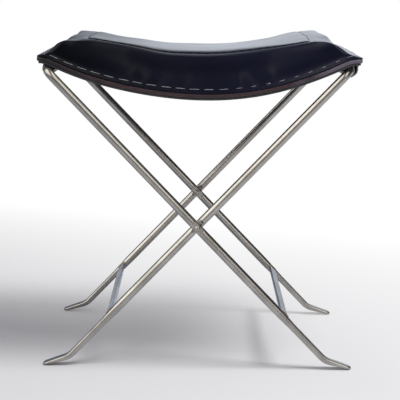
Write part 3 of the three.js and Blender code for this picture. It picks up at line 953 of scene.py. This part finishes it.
def cover_leather():
    leather = new_finish("black_cover_leather")
    place = leather.place()
    pores = leather.noise(place, 1500, 2)
    rubbed = leather.noise(place, 14, 4, 0.6)
    across, _, _ = leather.parts(place)
    # painted light: the share of the lit right side, broken a little by the rubbed noise
    painted_light_share = leather.between(across + rubbed * 0.12, -0.16, 0.2)
    dust = leather.between(rubbed, 0.5, 0.85)
    polish = leather.between(across, -0.19, -0.04, 0.1, 0.56)
    # the dust grey shows only where the painted light is, so it is dust and a painted sheen
    # together
    color = leather.mix(dust * painted_light_share * 0.5, leather.mix(painted_light_share, black_in_painted_shade, blue_in_painted_light), dust_and_sheen_grey)
    return leather.surface({
        "Base Color": color,
        "Roughness": 0.34 + (rubbed - 0.5) * 0.2 + (pores - 0.5) * 0.1,
        "Coat Weight": polish + (0.5 - rubbed) * 0.3,
        "Coat Roughness": 0.16,
        "Coat IOR": 1.25,
        "IOR": 1.25,
        "Specular Tint": (0.82, 0.87, 1, 1),
        "Normal": cover_height(leather, place, pores),
    })


black_leather = cover_leather()
print("cover finish:", black_leather.name)

# %% [markdown]
# ## Belt leather, the sole's edge and thread
#
# The sling is dull black belt leather. Its sleeves are worn greyer, and their cut ends show the
# pale inside of the hide. The sole shows mostly its cut edge, which was rubbed with wax until it
# turned reddish brown. Fine lines of fibre run along it. Near the ends it is painted darker at the
# left, a painted shadow, and lighter mauve at the right, a painted light, both broken up by
# blotches. The thread is waxed, and its twist is a wave that winds round it: painted darker between
# the strands, a painted shade, and lower too.

# %% Belt leather
def belt_leather(name, fresh, worn):
    leather = new_finish(name)
    place = leather.place()
    grain = leather.noise(place, 700, 4, 0.6)
    wear = leather.noise(place, 22, 4, 0.6)
    share = leather.between(wear * 0.7 + grain * 0.3, 0.4, 0.65)
    return leather.surface({
        "Base Color": leather.mix(share, (*fresh, 1), (*worn, 1)),
        "Roughness": 0.5 + (wear - 0.5) * 0.25,
        "Normal": leather.bump(grain, 0.0002, 0.4),
    })


dull_leather = belt_leather("dull_sling_leather", (0.020, 0.021, 0.026), (0.06, 0.062, 0.072))
grey_leather = belt_leather("worn_sleeve_leather", (0.05, 0.05, 0.053), (0.12, 0.118, 0.115))
cut_edge = belt_leather("cut_edge_leather", (0.30, 0.29, 0.28), (0.52, 0.50, 0.47))
print("belt leathers:", dull_leather.name, grey_leather.name, cut_edge.name)

# %% The sole's edge
waxed_dark, waxed_red = (0.020, 0.010, 0.014, 1), (0.066, 0.034, 0.042, 1)
# painted shadow at the sole's left end, painted light at its right end
left_end_painted_shade, right_end_painted_light = (0.010, 0.007, 0.009, 1), (0.14, 0.118, 0.155, 1)


def burnished_sole():
    leather = new_finish("burnished_sole_leather")
    place = leather.place()
    across, _, _ = leather.parts(place)
    fibres = leather.noise(leather.place((14, 14, 900)), 1, 3, 0.6)
    flesh = leather.noise(place, 260, 4, 0.65)
    blotches = leather.noise(place, 30, 4, 0.6)
    waxed = leather.mix(leather.between(fibres, 0.3, 0.75), waxed_dark, waxed_red)
    # painted shade and painted light near the ends, broken by blotches: dark at the left, mauve at
    # the right
    to_corner = leather.between(across.absolute(), 0.12, 0.235)
    painted_end_share = leather.between(blotches + to_corner * 0.45, 0.5, 0.8)
    painted_light_at_right = leather.between(across + blotches * 0.06, 0.07, 0.2)
    ends = leather.mix(painted_light_at_right, left_end_painted_shade, right_end_painted_light)
    rough = leather.bump(flesh, 0.00012, 0.3)
    return leather.surface({
        "Base Color": leather.mix(painted_end_share, waxed, ends),
        "Roughness": 0.42 + (blotches - 0.5) * 0.3,
        "Normal": leather.bump(fibres, 0.0002, 0.5, rough),
    })


sole_leather = burnished_sole()
print("sole finish:", sole_leather.name)

# %% Thread
twists_per_metre = 3600
once_round = 12.566


def waxed_thread(name, light, dark):
    thread = new_finish(name)
    round_it, along, _ = thread.parts(thread.place(kind="UV"))
    twist = (along * twists_per_metre + round_it * once_round).wave()
    lint = thread.noise(thread.place(), 900, 3)
    return thread.surface({
        # painted shade: the colour is darker where the twist dips between the strands
        "Base Color": thread.mix(thread.between(twist, -0.6, 0.8), (*dark, 1), (*light, 1)),
        "Roughness": 0.5 + (lint - 0.5) * 0.3,
        "Normal": thread.bump(twist, 0.0002, 0.6),
    })


pale_thread = waxed_thread("pale_waxed_thread", (0.42, 0.42, 0.42), (0.12, 0.12, 0.125))
dark_thread = waxed_thread("dark_waxed_thread", (0.03, 0.03, 0.032), (0.008, 0.008, 0.01))
print("threads:", pale_thread.name, dark_thread.name)

# %% [markdown]
# ## Sling and sole
#
# The sling is a plain strong layer of belt leather between the rails. The sole lies on it and
# stands out past the rails, so its edge goes all the way round the seat. Both are thin plates, and
# what makes them look like leather is the rounded, rubbed edge. A bevel modifier could round it,
# but a few rings that turn over the edge do the same and stay even round the corners.

# %% Sling and sole
flat_inset = 6


def edge_rings(set_back, corner, low, high, soft):
    """Rings of a plate from low to high, set back from the sole, with a softly rounded edge."""
    middle, tall = (low + high) / 2, (high - low) / 2
    places = [(flat_inset, low), (2 * soft, low)]
    for turn in np.linspace(0, np.pi, 9)[1:-1]:
        places.append((soft * (1 - math.sin(turn)), middle - tall * math.cos(turn)))
    places += [(2 * soft, high), (flat_inset, high)]
    rings = []
    for inset, height in places:
        set_in = set_back + inset
        rings.append(seat_ring(set_in, set_in, height, height, max(corner - inset, 0.4)))
    return rings


def plate(name, rings, finish, node):
    made = leather_solid(name, rings, finish)
    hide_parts(node)
    return ride_on_seat(made)


sling_rings = edge_rings(1.5, 5, 0, sling_thickness, 0.6)
sling = plate("sling_layer", sling_rings, dull_leather, "sling")
sole_rings = edge_rings(0, 6, sole_bottom, sole_top, 0.9)
sole = plate("sole_plate", sole_rings, sole_leather, "sole")
print("sling:", [round(v, 3) for v in sling.dimensions])
print("sole: ", [round(v, 3) for v in sole.dimensions])

# %% [markdown]
# ## Sleeves round the rails
#
# At each end the sling turns over the rail and comes back under itself, where it is sewn down, and
# its end is shaved thin. At the left the sleeve is tight. At the right a second layer hangs loose
# round the first, and its edge shows under the corner of the seat. A sleeve could be a thick pipe,
# but then its ends would look turned on a lathe. So each layer is drawn as one line in the plane
# across the rail, given a leather's thickness, and stretched to its width. The left sleeve turns
# with the seat, and the right one with its own rail.

# %% The sleeves' lines: out from the rail and up, from the rail's top
sleeve_half_length = 131
tight_side = [(9.6, -2.5), (8.7, -4.4), (8.1, -6.7), (7.0, -10.7)]
loose_side = [(16.8, -6.4), (14.9, -6.4), (13.7, -8.4), (11.8, -12.0)]
under_rail = [
    (3.9, -13.6), (0.0, -14.7), (-4.0, -13.7), (-7.0, -10.7), (-8.1, -6.7),
    (-8.1, -3.9), (-9.8, -1.7), (-13.0, -1.15), (-19.0, -1.05), (-25.0, -0.8),
]
loose_end = [(8.4, -15.2), (4.0, -16.4), (0.0, -17.2)]
tight_layer = (tight_side + under_rail, sleeve_half_length)
loose_layer = (loose_side + loose_end, sleeve_half_length - 0.8)


def smooth_line(places, steps):
    """A line through the places that turns evenly, with that many points between each two."""
    places = np.asarray(places, float)
    padded = np.concatenate([[2 * places[0] - places[1]], places, [2 * places[-1] - places[-2]]])
    line = []
    for k in range(1, len(padded) - 2):
        a, b, c, d = padded[k - 1 : k + 3]
        for t in np.arange(steps) / steps:
            line.append(
                0.5 * (2 * b + (c - a) * t + (2 * a - 5 * b + 4 * c - d) * t**2
                       + (3 * b - a - 3 * c + d) * t**3)
            )
    line.append(places[-1])
    return np.array(line)


print("a tight sleeve's line has", len(smooth_line(tight_layer[0], 4)), "points")

# %% A strip of leather round a rail
def strip_rings(line, thick, half_width):
    """Rings, from front to rear, of a strip that follows a line across the rail."""
    run = np.gradient(line, axis=0)
    run /= np.linalg.norm(run, axis=1)[:, None]
    across = np.stack([run[:, 1], -run[:, 0]], axis=1)
    outer, inner = line - across * thick[:, None] / 2, line + across * thick[:, None] / 2
    loop = np.concatenate([outer, inner[::-1]])
    middle = np.concatenate([line, line[::-1]])
    edge = [(0.0, 0.55), (0.3, 0.85), (0.9, 1.0)]
    inside = [(share, 0.0, 1.0) for share in np.linspace(-0.96, 0.96, 21)]
    places = [(-1.0, *row) for row in edge] + inside + [(1.0, *row) for row in edge[::-1]]
    out = np.array([math.cos(rail_angle), math.sin(rail_angle)])
    up = np.array([-math.sin(rail_angle), math.cos(rail_angle)])
    rings = []
    for place, inset, share in places:
        shape = middle + (loop - middle) * share
        flat = np.array([rail_x, rail_z]) + shape[:, :1] * out + (shape[:, 1:] + rail_reach) * up
        y = place * half_width - np.sign(place) * inset
        rings.append(np.stack([flat[:, 0], np.full(len(flat), y), flat[:, 1]], axis=1))
    return rings


strip_thickness = [1.6, 2.4, 2.2, 1.0]
strip_even_from, strip_shaved_from = 6, 13


def strip_of_leather(places, half_width):
    """Points, faces and finish numbers of a strip. Its two cut ends get the second finish."""
    line = smooth_line(places, 4)
    count = len(line)
    changes_at = [0, strip_even_from, count - strip_shaved_from, count - 1]
    thick = np.interp(np.arange(count), changes_at, strip_thickness)
    rings = strip_rings(line, thick, half_width)
    strip, faces = join_rings(rings, caps=False)
    around = len(rings[0])
    slots = []
    for k in range(len(rings) - 1):
        at_cut_end = k < 2 or k > len(rings) - 4
        slots += [int(at_cut_end)] * around
    for start, ahead in ((0, -1), (len(strip) - around, 1)):
        for i in range(count - 1):
            quad = (start + i, start + i + 1, start + around - 2 - i, start + around - 1 - i)
            faces.append(quad[::ahead])
            slots.append(1)
    return strip, faces, slots


def sleeve(letter, side, body, layers):
    points, faces, slots, first = [], [], [], 0
    for places, half_width in layers:
        strip, strip_faces, strip_slots = strip_of_leather(places, half_width)
        points.append(strip * (side, 1, 1))
        faces += [tuple(first + i for i in face) for face in strip_faces]
        slots += strip_slots
        first += len(strip)
    points = np.concatenate(points)
    finishes = [grey_leather, cut_edge]
    made = new_object(f"sleeve_{letter}_loop", points, faces, finishes, slots, sharp=60)
    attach(made, body)
    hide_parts(f"sling_sleeve_{letter}")
    return made


left_sleeve = sleeve("a", -1, "seat", [tight_layer])
right_sleeve = sleeve("b", 1, "sleeve_b", [tight_layer, loose_layer])
for made in (left_sleeve, right_sleeve):
    print(made.name, [round(v, 3) for v in made.dimensions])

# %% [markdown]
# ## The cushion
#
# The cushion is a bag of leather over firm padding. Its border is sewn to the sole near the edge,
# stands nearly upright along the front and the rear, and leans in at the ends. A seam on top joins
# it to the flat top panel. The bag is drawn as rings, from the foot up to the seam and a little
# past it. A plain box with a bevel would be quicker, but a cushion that has been sat on for years
# is nowhere straight.

# %% The cushion's section
# Each row: set in from the front, height there, set in from the end, height there, the share of
# the end's belly, and the radius at the corners.
cushion_section = [
    (3.0, 9.1, 3.0, 9.1, 0.0, 6.0),
    (0.4, 9.1, 0.4, 9.1, 0.0, 6.0),
    (0.05, 10.0, 0.05, 10.0, 0.0, 6.0),
    (0.5, 11.3, 0.5, 11.3, 0.0, 6.0),
    (2.4, 13.0, 2.4, 12.6, 0.0, 6.0),
    (4.6, 14.8, 5.0, 13.6, 0.0, 6.0),
    (6.4, 17.4, 8.0, 14.8, 0.0, 5.4),
    (7.3, 21.0, 10.6, 18.0, 0.0, 4.8),
    (7.6, 25.5, 12.4, 23.0, 0.0, 4.4),
    (7.7, 31.5, 13.6, 29.5, 0.0, 4.2),
    (7.9, 38.0, 14.8, 36.5, 0.0, 4.2),
    (8.3, 44.5, 16.0, 43.4, 0.0, 4.4),
    (9.1, 51.0, 18.2, 50.0, 0.05, 4.8),
    (10.6, 56.6, 22.0, 55.6, 0.1, 5.2),
    (13.0, 61.0, 27.6, 59.8, 0.2, 5.6),
    (16.4, 63.4, 35.0, 62.6, 0.3, 5.8),
    (20.2, 64.5, 41.5, 64.4, 0.3, 5.4),
    (24.2, 65.1, 47.5, 65.0, 0.25, 4.8),
    (27.0, 64.4, 52.5, 64.5, 0.15, 4.0),
    (27.9, 65.4, 53.6, 65.5, 0.15, 3.6),
    (29.8, 66.1, 55.6, 66.2, 0.15, 3.4),
    (35.0, 66.6, 60.5, 66.6, 0.2, 3.2),
]
foot_rows, stitch_row, seam_row = 5, 5, 18
print("the section has", len(cushion_section), "rows, the seam is row", seam_row)

# %% [markdown]
# ## How the cushion has settled
#
# Years of sitting gave the cushion its own face. Its ends are thinner than its middle. Its top
# has shallow hollows, its front is plumper than its rear, most of all at the left, and its
# corners lean outwards by different amounts. Sculpting could do this, but a few named numbers can
# be read and changed. They act on the drawn rings by height: nothing at the foot, where the
# cushion is sewn down, and all of it at the top.

# %% Settle the heights
top_crown, crown_from = 1.2, 50
full_height, right_height = 54, 50
end_thinning, right_fullness = 0.29, 0.25
hollow_everywhere, hollow_front_right = 0.3, 1
hollows = ((3, -204, 20), (1, -140, 30), (1.8, -60, 35), (1, 145, 30), (3, 196, 24))
rise_places = [-215, -200, -188, -175, -150, -130, -104, -75, -40, 0, 35, 67, 103, 138, 165]
front_rise = [0, 0.5, 3.2, 4.8, 5.7, 5.5, 4.4, 3.6, 2.5, 2.1, 2.8, 3.4, 2.8, 1.4, 0]
lean_heights = [0, 12, 24, 35, 45, 54]
front_left_lean, rear_left_lean = [0, 0, 0, 0, 0, 0], [0, 5, 4.5, 1, -2, -3]
front_right_lean, rear_right_lean = [0, 3, 4, 6, 7, 3], [0, 7.5, 7, 3, 0, 0]


def grows(value, start, length):
    """0 up to start, 1 from start + length on, and even in between."""
    return np.clip((value - start) / length, 0, 1)


def crown(along, y, raised):
    """How much the top is raised in its middle."""
    arch = 1 - np.minimum(np.abs(y) / (sole_half_width - 27), 1) ** 2
    arch = arch * (1 - np.minimum(np.abs(along) / (sole_half_length - 60), 1) ** 4)
    return top_crown * arch * (raised > crown_from)


def hollow(along, y, raised):
    """How much the cushion has sunk: in places, at the front right, and less at the front."""
    sunk = np.full(len(along), hollow_everywhere)
    for depth, middle, width in hollows:
        sunk += depth * np.exp(-(((along - middle) / width) ** 2))
    sunk = sunk * grows(raised, 0, full_height) ** 2
    front_right = grows(-y, 50, 90) * grows(along, 120, 50)
    sunk = sunk + hollow_front_right * front_right * grows(raised, 0, right_height) ** 2
    rise = np.interp(along, rise_places, front_rise) * ease(grows(-y, -80, 205))
    return sunk - rise * grows(raised, 0, full_height) ** 2


def lean(raised, y, in_front, in_rear):
    """How far a corner leans outwards at its height, from one table for each side."""
    at_front, at_rear = (np.interp(raised, lean_heights, table) for table in (in_front, in_rear))
    return at_rear + (at_front - at_rear) * grows(-y, 50, 90)


def settle_heights(places):
    """The cushion's places as drawn, turned into those of a cushion that has been sat on."""
    along, y, height = places.T
    raised = np.maximum(height - cover_lip, 0)
    share = along / sole_half_length
    fall = 1 - end_thinning * share**2
    fuller = 1 + right_fullness * share**3 * (1 - share**2)
    thick = (raised + crown(along, y, raised)) * fall * fuller
    to_right = lean(raised, y, front_right_lean, rear_right_lean) * grows(along, 60, 100) ** 2
    to_left = lean(raised, y, front_left_lean, rear_left_lean) * grows(-along, 60, 100) ** 2
    settled = height - raised + thick - hollow(along, y, raised)
    return np.stack([along - to_right + to_left, y, settled], axis=1)


def section_ring(row):
    front, front_height, end, end_height, belly, corner = row
    return seat_ring(front, end, front_height, end_height, corner, belly * end_belly)


cushion_rings = [section_ring(row) for row in cushion_section]
cushion = leather_solid("cushion_cover", cushion_rings, black_leather, shape=settle_heights)
print("cushion:", len(cushion.data.vertices), "points,", len(cushion.data.polygons), "faces")

# %% [markdown]
# ## Filling the bag
#
# Drawn rings are too even for a stuffed bag. So the bag is drawn in by a few millimetres, and
# Blender's cloth simulation blows it up again: the foot is held, air presses from inside, and
# the leather swells between the seams. How far a point may move is capped, so the bag fills to
# about its drawn shape. The simulation would round the four corners off too much, and there the
# drawn shape is kept. Only the result stays on the mesh, not the modifier.

# %% Read and write the points of a mesh
def points_of(mesh, kind="co"):
    found = np.empty(len(mesh.vertices) * 3)
    mesh.vertices.foreach_get(kind, found)
    return found.reshape(-1, 3)


def move_points(mesh, points):
    mesh.vertices.foreach_set("co", points.ravel())
    mesh.update()


def cushion_row(row):
    return slice(row * station_count, (row + 1) * station_count)


print("the seam's ring has", len(points_of(cushion.data)[cushion_row(seam_row)]), "points")

# %% Blow the cushion up
swell_cap, drawn_in = 0.0035, 0.9
soft_rows = 4
air_pressure, stretch_stiffness, bend_stiffness = 4, 30, 2
air_frames = 20
corner_x, corner_y = (0.1, 0.1), (0.08, 0.05)


def blow_up(piece, held):
    """The points that the cloth simulation ends with, when air presses from inside."""
    group = piece.vertex_groups.new(name="sewn_down")
    group.add([int(i) for i in held], 1, "REPLACE")
    cloth = piece.modifiers.new("air", "CLOTH")
    cloth.settings.vertex_group_mass = "sewn_down"
    cloth.settings.use_pressure = True
    cloth.settings.uniform_pressure_force = air_pressure
    cloth.settings.effector_weights.gravity = 0
    cloth.settings.tension_stiffness = stretch_stiffness
    cloth.settings.compression_stiffness = stretch_stiffness
    cloth.settings.bending_stiffness = bend_stiffness
    cloth.collision_settings.use_collision = False
    for number in range(1, air_frames + 1):
        bpy.context.scene.frame_set(number)
    seen = piece.evaluated_get(bpy.context.evaluated_depsgraph_get())
    blown = points_of(seen.data)
    piece.modifiers.remove(cloth)
    piece.vertex_groups.clear()
    bpy.context.scene.frame_set(1)
    return blown


def swell(piece, held):
    """Draws the free points in, blows the bag up, and says how far each point moved."""
    free = np.ones(len(piece.data.vertices))
    free[held] = 0
    for k in range(soft_rows):
        free[cushion_row(foot_rows + k)] = (k + 1) / (soft_rows + 1)
    drawn = points_of(piece.data)
    inwards = points_of(piece.data, "normal") * (free * swell_cap * drawn_in)[:, None]
    start = drawn - inwards
    move_points(piece.data, start)
    way = blow_up(piece, held) - start
    far = np.linalg.norm(way, axis=1)
    way *= (swell_cap * np.tanh(far / swell_cap) / np.maximum(far, 1e-9))[:, None]
    at_corner = grows(np.abs(drawn[:, 0]), *corner_x) * grows(np.abs(drawn[:, 1]), *corner_y)
    filled = start + way
    move_points(piece.data, filled + (drawn - filled) * at_corner[:, None])
    return np.linalg.norm(way, axis=1)


foot = np.arange(foot_rows * station_count)
bottom = len(cushion_rings) * station_count + np.arange((long_cells - 1) * (short_cells - 1))
moved = swell(cushion, np.concatenate([foot, bottom])) * 1000
print("swelled by", round(moved.mean(), 1), "mm on average, and at most", round(moved.max(), 1))

# %% [markdown]
# ## Seams on the cushion
#
# Sewing pulls the leather down along the top seam, and the leather beside it gathers into small
# puckers. The groove is real: the seam's ring is pushed in after the swelling. The puckers are too
# fine for the mesh, so they are a bump that fades away from the seam. For that the cushion gets a
# map whose first number runs round the seat, and whose second is the distance from the seam. At
# last a subdivision smooths the whole cover, and its result is kept without the modifier.

# %% Sink the seam and map the cover
seam_depth = 0.001
far_from_seam = 0.05


def sink_seam(piece):
    normals, points = points_of(piece.data, "normal"), points_of(piece.data)
    row = cushion_row(seam_row)
    points[row] -= normals[row] * seam_depth
    move_points(piece.data, points)


def map_seam(piece):
    """A map in metres: round the seat, and away from the seam. Off the rings it is far away."""
    mesh = piece.data
    points = points_of(mesh)
    ring = points[cushion_row(seam_row)]
    steps = np.linalg.norm(np.roll(ring, -1, axis=0) - ring, axis=1)
    around = np.concatenate([[0], np.cumsum(steps)])
    away = [0.0]
    for k in range(1, len(cushion_rings)):
        a = points[(k - 1) * station_count + long_cells // 2]
        b = points[k * station_count + long_cells // 2]
        away.append(away[-1] + float(np.linalg.norm(a - b)))
    away = np.array(away) - away[seam_row]
    layer = mesh.uv_layers.new(name="from_seam")
    ring_points = len(cushion_rings) * station_count
    for polygon in mesh.polygons:
        corners = [mesh.loops[i].vertex_index for i in polygon.loop_indices]
        on_rings = all(c < ring_points for c in corners)
        places = [c % station_count for c in corners]
        wraps = on_rings and max(places) - min(places) > station_count / 2
        for loop, corner, place in zip(polygon.loop_indices, corners, places):
            if on_rings:
                round_it = around[place + (station_count if wraps and place == 0 else 0)]
                layer.data[loop].uv = (round_it, away[corner // station_count])
            else:
                layer.data[loop].uv = (0.0, far_from_seam)


def millimetres_of_row(row):
    return points_of(cushion.data)[cushion_row(row)] / MM


below_stitch, stitch_line, above_stitch = (
    millimetres_of_row(stitch_row + k) for k in (-1, 0, 1)
)
sink_seam(cushion)
seam_line = millimetres_of_row(seam_row)
map_seam(cushion)
print("the seam is sunk by", seam_depth * 1000, "mm")

# %% Smooth the cover and let it ride
def smooth_for_good(piece):
    """Subdivides the piece and keeps the result, so that no modifier is left on it."""
    modifier = piece.modifiers.new("smooth", "SUBSURF")
    modifier.levels = modifier.render_levels = 1
    seen = piece.evaluated_get(bpy.context.evaluated_depsgraph_get())
    finer = bpy.data.meshes.new_from_object(seen)
    piece.modifiers.remove(modifier)
    coarse, piece.data = piece.data, finer
    bpy.data.meshes.remove(coarse)
    piece.data.shade_smooth()


smooth_for_good(cushion)
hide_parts("cover_border", "cover_top_panel", "padding_core")
ride_on_seat(cushion)
print("cushion finished:", [round(v, 3) for v in cushion.dimensions])

# %% [markdown]
# ## Stitches
#
# Long hand stitches of pale waxed thread hold the border to the sole. Each comes up out of the
# leather, lies flat for about a centimetre and a half, and goes down again. Towards the right
# they are pulled deeper, so that little more than their ends show. The top seam is sewn with short
# dark stitches that lie in its groove. A thread is a thin tube along a short path, so all the
# stitches of a seam are tubes in one mesh.

# %% Thread along short paths
thread_sides = 8


def tubes(name, paths, radius, finish):
    """One mesh with a tube along each path. A path is rows of x, y, z, and has a way up."""
    turn = np.linspace(0, 2 * np.pi, thread_sides, endpoint=False)
    points, faces, lengths, first = [], [], [], 0
    for path, lift in paths:
        run = np.gradient(path, axis=0)
        run /= np.linalg.norm(run, axis=1)[:, None]
        side = np.cross(run, lift)
        side /= np.linalg.norm(side, axis=1)[:, None]
        over = np.cross(side, run)
        rings = [
            at + radius * (np.outer(np.cos(turn), out) + np.outer(np.sin(turn), up))
            for at, out, up in zip(path, side, over)
        ]
        tube_points, tube_faces = join_rings(rings)
        points.append(tube_points)
        faces += [tuple(first + i for i in face) for face in tube_faces]
        steps = np.linalg.norm(np.diff(path, axis=0), axis=1)
        lengths += list(np.concatenate([[0], np.cumsum(steps)]))
        first += len(tube_points)
    made = new_object(name, np.concatenate(points), faces, [finish], sharp=80)
    mesh = made.data
    layer = mesh.uv_layers.new(name="along_thread")
    for polygon in mesh.polygons:
        corners = [mesh.loops[i].vertex_index for i in polygon.loop_indices]
        places = [c % thread_sides for c in corners]
        wraps = max(places) - min(places) > thread_sides / 2
        for loop, corner, place in zip(polygon.loop_indices, corners, places):
            turn = place + (thread_sides if wraps and place < thread_sides / 2 else 0)
            layer.data[loop].uv = (turn / thread_sides, lengths[corner // thread_sides] * MM)
    return made


print("a thread has", thread_sides, "sides")

# %% Walk along a seam
def walk(line, start, stop, count):
    """Places on a closed line between two distances along it, with the line's index there."""
    around = np.concatenate([line, line[:1]])
    reach = np.concatenate([[0], np.cumsum(np.linalg.norm(np.diff(around, axis=0), axis=1))])
    wanted = np.linspace(start, stop, count) % reach[-1]
    index = np.interp(wanted, reach, np.arange(len(around)))
    return np.stack([np.interp(wanted, reach, around[:, a]) for a in range(3)], axis=1), index


def line_length(line):
    return float(np.linalg.norm(np.roll(line, -1, axis=0) - line, axis=1).sum())


def at_index(line, index):
    """Places on a closed line at numbers that may fall between two of its points."""
    around = np.concatenate([line, line[:1]])
    numbers = np.arange(len(around))
    return np.stack([np.interp(index, numbers, around[:, a]) for a in range(3)], axis=1)


def lift_of(index):
    """The direction out of the leather at places on the stitch line."""
    up_the_face = at_index(above_stitch, index) - at_index(below_stitch, index)
    ahead = at_index(np.roll(above_stitch, -1, axis=0), index)
    behind = at_index(np.roll(above_stitch, 1, axis=0), index)
    lift = np.cross(ahead - behind, up_the_face)
    return lift / np.linalg.norm(lift, axis=1)[:, None]


print("stitch line:", round(line_length(stitch_line)), "mm")
print("top seam:   ", round(line_length(seam_line)), "mm")

# %% The long pale stitches
long_pitch, long_length, long_jitter = 20.6, 15.0, 0.7
long_radius = 0.55
lies_proud, sinks_to_right, end_sink = 0.3, 2.6, 1.6


def long_stitch(start):
    """A stitch that comes out of the leather, lies flat and goes in again."""
    path, index = walk(stitch_line, start, start + long_length, 13)
    lift = lift_of(index)
    if (lift[0] * (path[0] - stitch_line.mean(axis=0))).sum() < 0:
        lift = -lift
    share = np.linspace(0, 1, 13)
    right = grows(path[:, 0].mean(), -10, 90)
    proud = lies_proud - 0.6 * (1 - share) ** 1.2 * (0.5 + sinks_to_right * right)
    proud -= end_sink * grows(share, 0.88, 0.12) ** 2 + end_sink * grows(-share, -0.1, 0.1) ** 2
    return path + lift * proud[:, None], lift


def long_stitches():
    rng = np.random.default_rng(11)
    total = line_length(stitch_line)
    count = round(total / long_pitch)
    stitches = []
    for k in range(count):
        jitter = rng.uniform(-long_jitter, long_jitter)
        stitches.append(long_stitch((k + 0.5) * total / count + jitter))
    return stitches


def sew(name, paths, radius, finish):
    made = tubes(name, paths, radius, finish)
    ride_on_seat(made)
    print(name, len(paths), "stitches")


sew("border_stitches", long_stitches(), long_radius, pale_thread)

# %% The short stitches of the top seam and of the underside
seam_stitch = {"pitch": 12.4, "length": 9.4, "steps": 9, "proud": 0.7, "sink": 1.2, "power": 6}
under_stitch = {"pitch": 20.6, "length": 7.0, "steps": 7, "proud": 0.1, "sink": 0.9, "power": 4}
seam_radius, under_radius, under_inset = 0.6, 0.5, 12.0


def short_stitches(line, way_up, pitch, length, steps, proud, sink, power):
    """Even stitches along a line. Each lies proud in its middle and sinks at its ends."""
    total = line_length(line)
    count = round(total / pitch)
    share = np.linspace(-1, 1, steps)
    lift = np.tile(np.array([0.0, 0.0, way_up]), (steps, 1))
    height = lift * (proud - sink * share**power)[:, None]
    paths = []
    for k in range(count):
        start = k * total / count
        path, _ = walk(line, start, start + length, steps)
        paths.append((path + height, lift))
    return paths


seam_paths = short_stitches(seam_line, 1.0, **seam_stitch)
sew("top_seam_stitches", seam_paths, seam_radius, dark_thread)
under_ring = seat_ring(under_inset, sole_half_length - rail_arc + under_inset, 0.0, 0.0, 2)
under_paths = short_stitches(seat_point(*under_ring.T), -1.0, **under_stitch)
sew("underside_stitches", under_paths, under_radius, pale_thread)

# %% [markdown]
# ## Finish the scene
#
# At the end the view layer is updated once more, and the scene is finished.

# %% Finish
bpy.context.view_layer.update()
